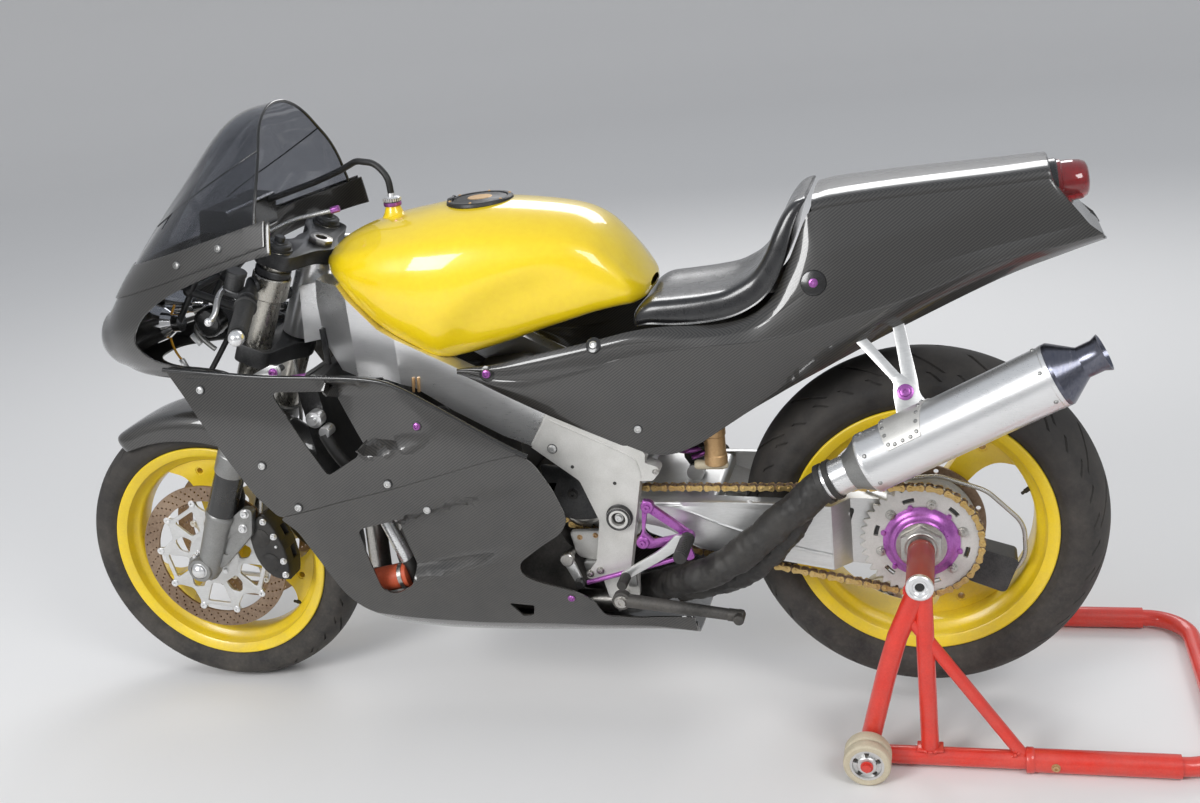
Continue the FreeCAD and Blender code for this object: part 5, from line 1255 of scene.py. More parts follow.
def carrier_plate(y0, thick):
    """Zig zag carrier: outer bars between pairs of bobbins, notches between the pairs, windows inside."""
    outline = []
    for pair in range(PAIRS):
        middle = 72 * pair + 30
        for radius, angle, corner in ((114, -13, 4), (114, 13, 4), (123, 15, 3), (125.5, 18, 4),
                (123, 21, 3), (112, 22.5, 4), (97, 34, 5), (97, 38, 5), (112, 49.5, 4), (123, 51, 3),
                (125.5, 54, 4), (123, 57, 3)):
            outline.append((*polar(radius, middle + angle), corner))
    blank = plate(wheel_outline(FRONT_HUB, outline, y0, 4, 2), LEFT * (thick / 1000))
    windows = []
    for pair in range(PAIRS):
        middle = 72 * pair + 30
        for spots, corner in ((((106, -14.6), (106, 14.6), (61, 11.5), (61, -11.5)), 6), (((88, 33.5),
                (88, 38.5), (77, 48), (57, 51.5), (57, 20.5), (77, 24)), 5)):
            shape = [polar(radius, middle + angle) for radius, angle in spots]
            windows.append(plate(wheel_outline(FRONT_HUB, shape, y0 - 4, corner, 3),
                LEFT * ((thick + 8) / 1000)))
    windows.append(rod(FRONT_HUB + LEFT * (y0 - 9) / 1000, FRONT_HUB + LEFT * (y0 + thick + 9) / 1000, 26,
        48, 0))
    cut(blank, joined(windows))
    return rounded(blank, 0.0012, 2, 40)


base = hollow(FRONT_HUB, LEFT, ((24, 54), (48, 54), (48, 62), (52, 64), (52, 69), (47, 70.5), (40, 72),
    (30, 72), (25, 70), (24, 66)), 72)
dressed(with_twin([carrier_plate(63.4, 5.2), base]), "front_disc_carrier_plates", "satin_alloy",
    "front_disc_carriers", body="front_wheel", angle=35)
bobbins = []
for pair in range(PAIRS):
    for angle in (-18, 18):
        spot = polar_place(FRONT_HUB, 121.5, 72 * pair + 30 + angle)
        bobbins.append(hollow(spot, LEFT, ((2.6, 70.7), (6.4, 70.7), (7.4, 69.8), (7.4, 62.2), (6.4, 61.3),
            (2.6, 61.3)), 20))
for index in range(5):
    place = polar(36, 72 * index)
    bobbins.append(rod(FRONT_HUB + mm(place[0], 71, place[1]), FRONT_HUB + mm(place[0], 75, place[1]), 5.5,
        16, 0.0008))
dressed(with_twin(bobbins), "front_disc_bobbins", "polished_alloy", body="front_wheel", angle=35)

# Chain wheel, its coloured carrier, nut and spacer

CHAIN_Y = 105
PITCH = 15.875
LINK_THICK = 1.9
OUTER_PLATE_Y, INNER_PLATE_Y = 5.9, 3.7
REAR_TEETH, DRIVE_TEETH = 40, 16


def pitch_radius(teeth):
    return PITCH / (2 * math.sin(math.pi / teeth))


def chain_wheel(hub, teeth, thick=6):
    """Toothed wheel with rounded roller seats between its teeth."""
    radius = pitch_radius(teeth)
    outline = []
    for index in range(teeth):
        middle = 360 * (index + 0.5) / teeth
        step = 360 / teeth
        for share, lift in ((-0.5, -4.9), (-0.4, -4.2), (-0.3, -1.2), (-0.2, 1.4), (-0.07, 4.4),
                (0.07, 4.4), (0.2, 1.4), (0.3, -1.2), (0.4, -4.2)):
            outline.append(polar_place(hub, radius + lift, middle + share * step)
                + LEFT * (CHAIN_Y - thick / 2) / 1000)
    return rounded(plate(outline, LEFT * (thick / 1000)), 0.0009, 1, 60)


def slots(hub, count, start, radius, half_turn, width):
    """Cutters for round ended slots that follow a circle."""
    made = []
    for index in range(count):
        middle = start + 360 * index / count
        outer = [polar(radius + width, middle + half_turn * (step / 4 - 1)) for step in range(9)]
        inner = [polar(radius - width, middle + half_turn * (1 - step / 4)) for step in range(9)]
        made.append(plate(wheel_outline(hub, outer + inner, CHAIN_Y - 12, width * 0.8, 3), LEFT * 0.024))
    return joined(made)


drive = chain_wheel(REAR_HUB, REAR_TEETH)
cut(drive, slots(REAR_HUB, 6, 15, 78.5, 7.5, 4), rod(REAR_HUB + LEFT * 0.09, REAR_HUB + LEFT * 0.12, 59, 64,
    0))
dressed(drive, "rear_chain_wheel", "cast_alloy", "rear_sprocket", body="rear_wheel", angle=35)
studs = []
nuts = []
for index in range(6):
    spot = polar_place(REAR_HUB, 71.5, 45 + 60 * index)
    nuts.append(rod(spot + LEFT * 0.1085, spot + LEFT * 0.1145, 8, 6, 0.0008))
    nuts.append(rod(spot + LEFT * 0.1075, spot + LEFT * 0.1092, 9.4, 24, 0.0004))
    studs.append(rod(spot + LEFT * 0.1135, spot + LEFT * 0.119, 4.2, 16, 0.0006))
dressed(nuts + studs, "rear_chain_wheel_nuts", "steel", body="rear_wheel", angle=30)
flange = hollow(REAR_HUB, LEFT, ((59, 97.6), (79, 97.6), (79.5, 98), (79.5, 101.2), (79, 101.7),
    (59, 101.7)), 96)
dressed(flange, "chain_wheel_carrier_flange", "dark_alloy", body="rear_wheel", angle=35)
cup = hollow(REAR_HUB, LEFT, ((31, 98), (60, 98), (60, 106), (65, 108.2), (65.5, 110.5), (62, 112),
    (58, 113), (54, 117.5), (50, 120.5), (46, 121.5), (44, 124), (40, 126), (31, 126)), 96)
lobes = []
for index in range(6):
    spot = polar_place(REAR_HUB, 66.5, 15 + 60 * index)
    lobes.append(rod(spot + LEFT * 0.107, spot + LEFT * 0.114, 4.6, 20, 0.0012))
dressed([cup] + lobes, "chain_wheel_carrier_cup", "purple_alloy", "sprocket_carrier", body="rear_wheel",
    angle=35)

# Axle, its big nuts and washers

axle_parts = [
    hollow(REAR_HUB, LEFT, ((15, -86), (29, -86), (30, -84.5), (30, 139), (28.5, 140), (26, 140), (25, 138),
        (15, 138)), 64),
    rounded(rod(REAR_HUB + LEFT * 0.127, REAR_HUB + LEFT * 0.139, 39.5, 6, 0), 0.0015, 2, 20),
    hollow(REAR_HUB, LEFT, ((30.5, 125.6), (43, 125.6), (43, 127.4), (30.5, 127.4)), 48),
    rounded(rod(REAR_HUB - LEFT * 0.075, REAR_HUB - LEFT * 0.0585, 43.5, 6, 0), 0.002, 2, 20),
    hollow(REAR_HUB, LEFT, ((30.5, -58.4), (50, -58.4), (50, -60.5), (30.5, -60.5)), 48),
]
bore = [rod(REAR_HUB + LEFT * low, REAR_HUB + LEFT * high, 15, 40, 0)
    for low, high in ((0.12, 0.15), (-0.1, -0.05))]
for index in (1, 3):
    cut(axle_parts[index], bore[index // 2])
dressed(axle_parts, "rear_axle_and_nuts", "steel", "rear_axle", body="rear_wheel", angle=30)

# Chain of separate links on both chain wheels

DRIVE_HUB = bike(600, 0, 421)


def chain_loop():
    """Pin places round the loop, close to one pitch apart, and the line it follows."""
    rear_r, front_r = pitch_radius(REAR_TEETH) / 1000, pitch_radius(DRIVE_TEETH) / 1000
    gap = DRIVE_HUB - REAR_HUB
    length = math.hypot(gap.x, gap.z)
    base = math.atan2(gap.z, gap.x)
    lean = math.asin((rear_r - front_r) / length)
    high = base + math.pi / 2 - lean
    low = base - math.pi / 2 + lean

    def on(hub, radius, turn):
        return hub + Vector((math.cos(turn), 0, math.sin(turn))) * radius

    run = length * math.cos(lean)
    rear_wrap = math.tau - (high - low)
    front_wrap = high - low
    parts = ((run, lambda s: on(REAR_HUB, rear_r, high).lerp(on(DRIVE_HUB, front_r, high), s / run)),
        (front_r * front_wrap, lambda s: on(DRIVE_HUB, front_r, high - s / front_r)), (run,
        lambda s: on(DRIVE_HUB, front_r, low).lerp(on(REAR_HUB, rear_r, low), s / run)),
        (rear_r * rear_wrap, lambda s: on(REAR_HUB, rear_r, low - s / rear_r)))
    total = sum(part[0] for part in parts)
    count = round(total / (PITCH / 1000) / 2) * 2
    places = []
    for index in range(count):
        distance = total * index / count
        for part_length, place in parts:
            if distance <= part_length:
                places.append(place(distance))
                break
            distance -= part_length
    return places


def link_plate(outer):
    """One figure of eight side plate between two pins at (-half pitch, +half pitch)."""
    half = PITCH / 2
    spots = []
    for centre, start in ((half, -62), (-half, 118)):
        for step in range(6):
            turn = math.radians(start + 124 * step / 5)
            spots.append((centre + 7.2 * math.cos(turn), 7.2 * math.sin(turn)))
        spots.append((0, 3.7 if centre > 0 else -3.7))
    y = OUTER_PLATE_Y if outer else INNER_PLATE_Y
    outline = [mm(x, y, z) for x, z in spots]
    return plate(outline, LEFT * (LINK_THICK / 1000))


def link(outer):
    near = rounded(link_plate(outer), 0.0004, 1, 40)
    parts = [near, copied(near, OVER)]
    for x in (-PITCH / 2, PITCH / 2):
        pin = mm(x, 0, 0)
        if outer:
            parts.append(rod(pin - LEFT * 0.0092, pin + LEFT * 0.0092, 3.1, 10, 0.0006))
        else:
            parts.append(rod(pin - LEFT * 0.0034, pin + LEFT * 0.0034, 4.6, 12, 0))
    return joined(parts)


pins = chain_loop()
links = ([], [])
models = [link(True), link(False)]
for index, pin in enumerate(pins):
    after = pins[(index + 1) % len(pins)]
    middle = (pin + after) / 2 + LEFT * CHAIN_Y / 1000
    ahead = (after - pin).normalized()
    frame_turn = Matrix((ahead, LEFT, ahead.cross(LEFT))).transposed().to_4x4()
    links[index % 2].append(copied(models[index % 2], Matrix.Translation(middle) @ frame_turn))
for model in models:
    bpy.data.objects.remove(model)
dressed(links[0], "chain_outer_links", "chain_gold", "chain", angle=35)
dressed(links[1], "chain_inner_links", "rotor_iron", angle=35)
dressed([chain_wheel(DRIVE_HUB, DRIVE_TEETH), solid(DRIVE_HUB, LEFT, ((24, 91), (24, 100), (30, 101),
    (30, 109), (24, 110), (22, 116), (14, 117), (13, 113)), 40)], "drive_chain_wheel", "steel",
    "drive_sprocket", angle=35)

# Fork, front brakes and controls

LEG_X = 36
LEG_Y = 105
LEFT_LEG = steer(LEG_X, LEG_Y, 0)
AXLE_UP = -687.2


def on_legs(name, slot, *nodes, profile, steps=48):
    """Rings or tubes turned round both fork legs from (radius, height up the leg) points."""
    piece = lathe(LEFT_LEG, STEER_AXIS, profile, steps, closed=profile[0][0] > 1)
    dressed(with_twin(piece), name, slot, *nodes, body="steering", angle=30)


def steering_outline(spots, y, radius=0, steps=4):
    return [steer(spot.x, y, spot.y) for spot in flat_outline(spots, radius, steps)]


on_legs("fork_upper_legs", "bronze_alloy", "fork_tubes", profile=((0.01, -392), (26, -392), (26, 12),
    (25, 13.5), (0.01, 13.5)))
on_legs("fork_leg_caps", "dark_alloy", profile=((0.01, 39), (8, 39), (9.5, 37.5), (9.5, 30), (15, 29.5),
    (16, 28), (21, 27.5), (23.5, 25.5), (23.5, 19.5), (25.6, 19), (25.6, 14.2), (24, 13.6), (0.01, 13.6)))
on_legs("fork_seal_collars", "grey_casting", profile=((26.2, -384), (30, -385), (31.8, -387), (31.8, -410),
    (30.6, -412), (30.6, -418), (31.8, -420), (31.8, -458), (30, -462), (26.2, -462)))
on_legs("fork_outer_tubes", "black_plastic", "fork_lowers", profile=((0.01, -460), (29.2, -460),
    (29.2, -556), (0.01, -556)))

# Cast feet with their caliper arms and pinch bolts

shank = lathe(LEFT_LEG, STEER_AXIS, ((0.01, -553), (29.6, -553), (31, -555), (31, -564), (29, -569),
    (27.5, -600), (26, -650), (24.5, -690), (20, -704), (12, -710), (0.01, -711)), 48)
boss = hollow(steer(46, 0, AXLE_UP), LEFT, ((12.7, 82), (22, 82), (25, 85), (25, 128), (23, 131), (17, 132),
    (17, 130), (12.7, 130)), 40)
arm = plate(steering_outline([(22, -572), (-6, -524, 8), (-26, -520, 8), (-38, -573, 6), (4, -672, 12),
    (32, -680)], 95, 7), LEFT * 0.018, 0.002)
cut(arm, plate(steering_outline([(8, -598), (-12, -570), (-22, -580), (2, -640), (14, -640)], 109, 5),
    LEFT * 0.012))
clamp = plate(steering_outline([(20, -672, 3), (76, -672, 8), (76, -706, 8), (20, -706, 3)], 97, 7),
    LEFT * 0.024, 0.002)
cut(clamp, plate(steering_outline([(50, -688), (90, -688), (90, -690.4), (50, -690.4)], 80), LEFT * 0.06))
dressed(with_twin([shank, boss, arm, clamp]), "fork_cast_feet", "grey_casting", "fork_feet",
    body="steering", angle=38)


def headed(place, axis, radius, height, sides=6):
    """Socket or hex head with its washer, standing on a face."""
    washer = solid(place, axis, ((radius * 1.3, 1.4), (radius * 1.35, 0.8), (radius * 1.35, -0.6)), 20)
    head = rod(place + axis * 0.001, place + axis * (height / 1000), radius, max(sides, 6), 0.0007)
    if sides > 6:
        cut(head, rod(place + axis * ((height - 2.5) / 1000), place + axis * ((height + 3) / 1000),
            radius * 0.5, 6, 0))
    return joined([washer, head])


bolts = [headed(steer(x, 113, z), LEFT, 7, 7.5, 20) for x, z in ((-14, -533), (-17, -566))]
bolts += [headed(steer(68, y, -671.5), STEER_AXIS, 4.2, 5, 20) for y in (103, 114)]
bolts.append(lathe(steer(46, 0, AXLE_UP), LEFT, ((0.01, 141.5), (6, 141), (11, 138.5), (14, 135),
    (14, 131.5), (16.5, 130.5), (16.5, 128), (0.01, 128)), 32))
dressed(with_twin(bolts), "fork_foot_bolts", "polished_alloy", body="steering", angle=32)
dressed([rod(steer(46, -126, AXLE_UP), steer(46, 126, AXLE_UP), 12.4, 40),
    with_twin(lathe(steer(46, 0, AXLE_UP), LEFT, ((12, 55), (19, 55), (20, 56), (20, 80), (19, 81),
    (12, 81)), 40))], "front_wheel_spindle", "steel", "front_axle", body="steering")

# Calipers: two halves with rounded piston lands, a bridge and their bolts


def sector(spots, y, thick, corner=6):
    outline = [wheel_place(FRONT_HUB, angle, radius, y) for radius, angle in spots]
    flat = softened([(place.x * 1000, place.z * 1000) for place in outline], corner, 3)
    return plate([mm(spot.x, y, spot.y) for spot in flat], LEFT * (thick / 1000))


CALIPER = [(181, 37), (182, 24), (182, 12), (182, 0), (181, -11), (150, -11.5), (128, -6), (116, 4),
    (114, 14), (120, 25), (134, 37.5), (160, 38)]
outer_half = rounded(sector(CALIPER, 73, 28, 10), 0.004, 3, 50)
inner_half = rounded(sector(CALIPER, 47, 12, 10), 0.003, 2, 50)
bridges = [rounded(sector([(182, high), (182, low), (163, low), (163, high)], 52, 44, 4), 0.0015, 2, 50)
    for low, high in ((24, 37), (-11, 1), (9, 17))]
lands = []
for angle in (24, 2):
    spot = wheel_place(FRONT_HUB, angle, 144, 0)
    lands.append(solid(spot, LEFT, ((12, 104.5), (15, 103), (20, 102), (20, 98)), 32))
dressed(with_twin([outer_half, inner_half] + bridges + lands), "front_caliper_bodies", "black_steel",
    "front_calipers", body="steering", angle=35)
heads = [headed(wheel_place(FRONT_HUB, angle, 173, 101), LEFT, 5.2, 5.5, 20) for angle in (33, 21, 3, -7)]
heads.append(headed(wheel_place(FRONT_HUB, 31, 124, 101), LEFT, 5.2, 5.5, 20))
heads.append(rod(wheel_place(FRONT_HUB, 14, 168, 56), wheel_place(FRONT_HUB, 14, 168, 104), 3, 12))
dressed(with_twin(heads), "front_caliper_bolts", "polished_alloy", body="steering", angle=32)

# Front mudguard: crowned shell with a lip and a tongue down in front of each leg

GUARD_RADIUS = 313
GUARD_ROWS = ((-35.5, 0.35, 34), (-34, 0.75, 36), (-30, 1, 40), (-20, 1, 48), (-8, 1, 55), (8, 1, 60),
    (24, 1, 62), (42, 1, 60), (56, 1, 58), (62, 0.97, 56), (64, 0.8, 50))


def guard_row(turn, width, skirt):
    """One row across the guard, at an angle behind the top of the wheel."""
    rays = math.radians(turn)
    row = []
    for share, drop in ((-1, skirt), (-1, skirt * 0.62), (-0.97, skirt * 0.35), (-0.86, skirt * 0.14),
            (-0.66, skirt * 0.04), (-0.33, 0.4), (0, 0), (0.33, 0.4), (0.66, skirt * 0.04),
            (0.86, skirt * 0.14), (0.97, skirt * 0.35), (1, skirt * 0.62), (1, skirt)):
        radius = GUARD_RADIUS - drop
        row.append(FRONT_HUB + mm(-math.sin(rays) * radius, share * 74 * width, math.cos(rays) * radius))
    return row


guard = skin([guard_row(*row) for row in GUARD_ROWS], 70, 49)
shelled(guard, UP, 0.0028)
rounded(guard, 0.0008, 2, 50)
tongue = plate([steer(x, 75.5, z) for x, z in ((70, -430), (30, -470), (6, -520), (4, -560), (24, -560),
    (32, -600), (44, -640), (56, -636), (62, -560), (78, -480))], LEFT * 0.0028, 0.0008)
dressed([guard, with_twin(tongue)], "front_guard_shell", "carbon", "front_mudguard", body="steering",
    angle=40)
dressed(with_twin([headed(steer(x, 78.4, z), LEFT, 4.5, 3.5, 20) for x, z in ((44, -500), (48, -600))]),
    "front_guard_bolts", "polished_alloy", body="steering")

# Clamps, bars, grips and levers

RING_DOWN = -58
CLAMP_OUTLINE = [(-14, -48, 14), (-32, -14, 12), (-32, 14, 12), (-14, 48, 14), (2, 134, 16), (64, 136, 16),
    (74, 100, 14), (62, 62, 14), (40, 34, 14), (44, 0, 10), (40, -34, 14), (62, -62, 14), (74, -100, 14),
    (64, -136, 16), (2, -134, 16), (-14, -48, 0.1)]


def clamp_plate(z_mid, thick, name, slot, node):
    """Fork clamp with rounded ears and three bores, from its outline seen along the steering axis."""
    flat = softened(CLAMP_OUTLINE[:-1], 14, 4)
    blank = plate([steer(spot.x, spot.y, z_mid - thick / 2) for spot in flat], STEER_AXIS * (thick / 1000))
    for x, y, radius in ((36, 105, 26.2), (36, -105, 26.2), (0, 0, 20.2)):
        cut(blank, rod(steer(x, y, z_mid - 40), steer(x, y, z_mid + 40), radius, 48, 0))
    rounded(blank, 0.003, 3, 40)
    return dressed(blank, name, slot, node, body="steering", angle=35)


clamp_plate(0, 28, "upper_fork_clamp", "dark_alloy", "upper_clamp")
clamp_plate(-196, 36, "lower_fork_clamp", "dark_alloy", "lower_clamp_stem")
stem = hollow(steer(0, 0, 0), STEER_AXIS, ((10.6, 22), (20, 22), (20, -222), (10.6, -222)), 40)
nut = rounded(rod(steer(0, 0, 14), steer(0, 0, 24), 23, 8, 0), 0.001, 2, 20)
cut(nut, rod(steer(0, 0, 0), steer(0, 0, 40), 11, 32, 0))
dressed([stem, nut], "steering_stem_and_nut", "steel", body="steering", angle=35)
on_legs("clip_on_rings", "bronze_alloy", profile=((26.1, -36), (33, -36), (35, -38), (35, -78), (33, -80),
    (26.1, -80)))
on_legs("clip_on_ring_bands", "dark_alloy", profile=((26.1, -22), (31, -22), (32.5, -24), (32.5, -33),
    (31, -35), (26.1, -35)))

BAR_ROOT = steer(LEG_X + 22, LEG_Y + 30, RING_DOWN)
BAR_RAY = (STEER_FORWARD * -0.36 + ACROSS * 0.93 + STEER_AXIS * -0.04).normalized()


def along_bar(distance):
    return BAR_ROOT + BAR_RAY * (distance / 1000)


bar = rod(along_bar(-14), along_bar(208), 11, 32)
block = rounded(rod(steer(LEG_X, LEG_Y, RING_DOWN + 2), along_bar(4), 15, 24, 0), 0.002, 2)
cut(block, rod(steer(LEG_X, LEG_Y, -100), steer(LEG_X, LEG_Y, 0), 26.1, 40, 0))
dressed(with_twin([bar, block]), "handlebar_tubes", "dark_alloy", "clip_ons", body="steering", angle=35)
end_weight = lathe(along_bar(0), BAR_RAY, ((0.01, 232), (5, 231.5), (10, 228.5), (13, 223), (13.8, 218),
    (13, 212), (11, 208), (11, 205), (0.01, 205)), 32)
dressed(with_twin(end_weight), "bar_end_weights", "polished_alloy", body="steering", angle=40)
ribs = [(12, 92), (19, 92), (20, 93), (20, 96), (16.5, 98)]
for index in range(17):
    start = 99 + index * 6
    ribs += [(16.5, start), (16.5, start + 3.6), (15.8, start + 4.2), (15.8, start + 5.4)]
ribs += [(16.5, 202), (15.5, 204), (12, 204)]
dressed(with_twin(hollow(along_bar(0), BAR_RAY, ribs, 40)), "rubber_grips", "grip_rubber", "grips",
    body="steering", angle=30)

LEVER_ROOT = along_bar(58)
LEVER_OUT = STEER_FORWARD
perch = hollow(LEVER_ROOT, BAR_RAY, ((11.2, -13), (16, -13), (17.5, -11), (17.5, 11), (16, 13), (11.2, 13)),
    32)
stalk = rod(LEVER_ROOT + LEVER_OUT * 0.014, LEVER_ROOT + LEVER_OUT * 0.048, 9, 24, 0.002)
reservoir = solid(LEVER_ROOT + LEVER_OUT * 0.03, STEER_AXIS, ((15, 8), (17, 10), (17, 34), (18.5, 35),
    (18.5, 41), (17, 42.5)), 32)
dressed(with_twin([perch, stalk, reservoir]), "lever_perches", "dark_alloy", "levers", body="steering",
    angle=35)
lever_spots = [LEVER_ROOT + LEVER_OUT * out + BAR_RAY * along for out, along in ((0.046, -0.006),
    (0.052, 0.02), (0.052, 0.06), (0.048, 0.1), (0.051, 0.132), (0.054, 0.142))]
blade = tube(lever_spots, 5.2, sides=5)
blade_end = lathe(lever_spots[-1], BAR_RAY, ((0.01, 7), (4, 6.3), (7, 3), (7.6, 0), (7, -3), (4, -6.3),
    (0.01, -7)), 20)
dressed(with_twin([blade, blade_end]), "lever_blades", "polished_alloy", body="steering", angle=40)
damper_arm = plate([bike(x, 186, z) for x, z in ((1172, 704), (1180, 716), (1126, 740), (1112, 738),
    (1108, 724), (1116, 714))], LEFT * 0.008, 0.0015)
dressed(damper_arm, "steering_damper_arm", "polished_alloy", angle=35)
dressed([headed(bike(1122, 194.4, 726), LEFT, 6.5, 5, 20), rounded(rod(bike(1092, 186, 712),
    bike(1062, 186, 716), 5.5, 20, 0), 0.001, 2)], "steering_damper_bolt", "purple_alloy")
dressed([rod(bike(1120, 162, 726), bike(1120, 187, 726), 6, 20), rod(bike(1060, 110, 716),
    bike(1064, 190, 716), 4, 16)], "steering_damper_posts", "dark_alloy")

# Frame castings, footrests, rear end and side stand


def weld(start, end, radius=3.2, pitch=4.4):
    """Rippled bead of weld between two places."""
    length = (end - start).length * 1000
    count = max(int(length / pitch), 2)
    step = length / count
    profile = [(0.01, 0)]
    for index in range(count):
        profile += [(radius * lift, (index + share) * step)
            for share, lift in ((0.12, 0.82), (0.5, 1), (0.88, 0.82))]
    return lathe(start, (end - start).normalized(), profile + [(0.01, length)], 10)


def welds(*lines):
    return joined([weld(first, last) for line in lines for first, last in zip(line, line[1:])])


def ring_weld(centre, axis, radius, count=10):
    side = axis.orthogonal().normalized() * (radius / 1000)
    spots = [centre + Matrix.Rotation(math.tau * index / count, 3, axis) @ side for index in range(count)]
    return welds(spots + spots[:1])


def dome(place, normal, radius=2.8, height=1.7):
    return lathe(place, normal, ((0.01, height), (radius * 0.55, height * 0.9),
        (radius * 0.9, height * 0.4), (radius, -0.5), (0.01, -0.5)), 10)


def heads(name, slot, spots, axis=LEFT, twin=True):
    """Bolt heads at (x, y, z, radius, height) places."""
    piece = joined([headed(bike(x, y, z), axis, radius, height, 20) for x, y, z, radius, height in spots])
    return dressed(with_twin(piece) if twin else piece, name, slot)


ribs_line = tube([bike(x, 155, z) for x, z in ((628, 611), (560, 577), (487, 541), (478, 528), (474, 500))],
    1.5, sides=4)
beads = welds([bike(x, 152.5, z) for x, z in ((633, 622), (646, 597), (667, 563))])
dressed(with_twin([beads, ribs_line]), "frame_weld_beads", "cast_alloy", angle=50)
fastened("casting_screws", "satin_alloy", [(bike(x, y, z), LEFT)
    for x, y, z in ((630, 155.4, 557), (630, -155.4, 557))], 9)
heads("casting_pins", "black_steel", [(597, 154.4, 522, 2.4, 1.2), (523, 154.4, 490, 2.4, 1.2),
    (143, 90, 357, 7, 7)])
heads("casting_bolts", "steel", [(568, 155, 318, 5.5, 5), (588, 155, 312, 5.5, 5), (446, 155, 511, 4, 3)])
PIVOT_SPOT = bike(521, 0, 425)
rings = lathe(PIVOT_SPOT, LEFT, ((17.2, 164), (17.6, 167.6), (19.5, 168.4), (21.6, 167.4), (22.5, 165),
    (22.5, 155), (24.5, 155), (24.5, 156.6), (23, 157.6)), 48)
dressed(with_twin(rings), "swingarm_pivot_rings", "dark_alloy")
sleeves = lathe(PIVOT_SPOT, LEFT, ((13, 157), (13.2, 165.4), (14.2, 166.6), (16, 166.6), (17, 165.4),
    (17, 157)), 48)
dressed(with_twin([sleeves, headed(PIVOT_SPOT + LEFT * 0.158, LEFT, 6, 7, 20)]), "swingarm_pivot_sleeves",
    "satin_alloy")
dressed(with_twin(solid(PIVOT_SPOT, LEFT, ((12.9, 158), (12.9, 156)), 32)), "swingarm_pivot_plugs",
    "black_steel")

# Small plates: name, finish, side view outline, inner and outer distance from the middle, corner radius,
# bevel and whether both sides have it
PLATES = (
    ("footrest_brackets", "purple_alloy", ((474, 466, 9), (386, 396, 9), (386, 384, 9), (470, 368, 9),
        (494, 376, 9), (480, 400, 6)), 158, 168, 8, 1.4, True),
    ("gear_lever_blade", "satin_alloy", ((416, 404, 10), (398, 400, 10), (398, 384, 8), (440, 356, 60),
        (512, 314, 6), (522, 316, 6), (524, 326, 6), (440, 378, 60)), 176, 184, 8, 2.6, True),
    ("gear_lever_arm", "purple_alloy", ((420, 400, 9), (400, 400, 9), (386, 354, 7), (402, 348, 7)), 168.5,
        175.5, 7, 1, False),
    ("gear_crank", "satin_alloy", ((596, 294, 7), (612, 294, 7), (634, 342, 9), (616, 352, 9)), 160, 168, 7,
        2, False),
    ("drive_cover", "dark_alloy", ((668, 515), (580, 500, 20), (556, 468, 20), (554, 412, 12),
        (596, 402, 20), (660, 414)), 116, 125, 10, 3, False),
    ("pump_housing", "cast_alloy", ((626, 386, 10), (562, 388, 10), (548, 352, 12), (566, 322, 12),
        (616, 334, 12)), 120, 134, 10, 5, False),
    ("pump_flange", "grey_casting", ((604, 330, 8), (560, 330, 8), (556, 296, 8), (598, 300, 8)), 128, 142,
        8, 3, False),
    ("side_stand_lug", "grey_casting", ((500, 320, 3), (516, 320, 3), (516, 290, 3), (500, 290, 3)), 158,
        163, 3, 0.8, False),
    ("axle_slot_liner", "black_steel", ((112, 412, 9), (132, 412, 9), (148, 372, 9), (128, 366, 9)), 88,
        89.2, 9, 0.4, False),
    ("axle_slot_link", "polished_alloy", ((120, 406, 5), (130, 406, 5), (143, 372, 5), (133, 369, 5)), 89,
        92.5, 5, 0.8, False),
)
for name, slot, spots, low, high, corner, edge, both in PLATES:
    piece = plate(side_outline(spots, low, corner, 4), LEFT * ((high - low) / 1000))
    if name == "footrest_brackets":
        cut(piece, plate(side_outline([(467, 440, 5), (408, 396, 5), (462, 384, 5), (476, 400, 5)], low - 9,
            5, 3), LEFT * 0.03))
        cut(piece, rod(PIVOT_SPOT, PIVOT_SPOT + LEFT * 0.3, 26, 40, 0))
        eyes = [hollow(bike(x, 0, z), LEFT, ((4, 158), (12, 158), (12, 170), (10.5, 171.5), (4, 171.5)), 28)
            for x, z in ((466, 450), (480, 381), (398, 392))]
        posts = [rod(bike(x, 154, z), bike(x, 159, z), 7, 20) for x, z in ((470, 448), (480, 384))]
        piece = joined([piece] + eyes + posts)
    rounded(piece, edge / 1000, 2, 40)
    dressed(with_twin(piece) if both else piece, name, slot, *(["rearsets"] if name == "footrest_brackets"
        else []), angle=35)
heads("footrest_bolts", "purple_alloy", [(466, 170, 450, 5.5, 5), (480, 170, 381, 5.5, 5)])
heads("pump_bolts", "brass", [(606, 133, 374, 4, 4), (576, 133, 378, 4, 4), (566, 133, 338, 4, 4)],
    twin=False)
heads("drive_cover_bolts", "black_steel", [(612, 124.5, 456, 8, 4), (572, 124.5, 428, 4, 3),
    (590, 124.5, 492, 4, 3)], twin=False)
pegs = [(9, 172), (13, 172), (13, 176)]
for index in range(11):
    start = 178 + index * 6.4
    pegs += [(10.6, start), (12.4, start + 1.2), (12.4, start + 4.2), (10.6, start + 5.2)]
peg = lathe(bike(398, 0, 391), LEFT, [(0.01, 170)] + pegs + [(11, 250), (0.01, 251)], 24)
toe = solid(bike(514, 0, 320), LEFT, ((8, 182), (9.5, 184), (9.5, 216), (8, 219)), 24)
joint = solid(bike(604, 0, 300), LEFT, ((9, 164), (10, 167), (10, 176), (7, 179)), 20)
dressed([with_twin([peg, toe]), rod(bike(398, 168, 392), bike(398, 182, 392), 8, 20), joint],
    "footrest_pegs", "black_steel", angle=35)
dressed(rod(bike(590, 172, 302), bike(406, 172, 356), 4.6, 16), "gear_rod", "purple_alloy")
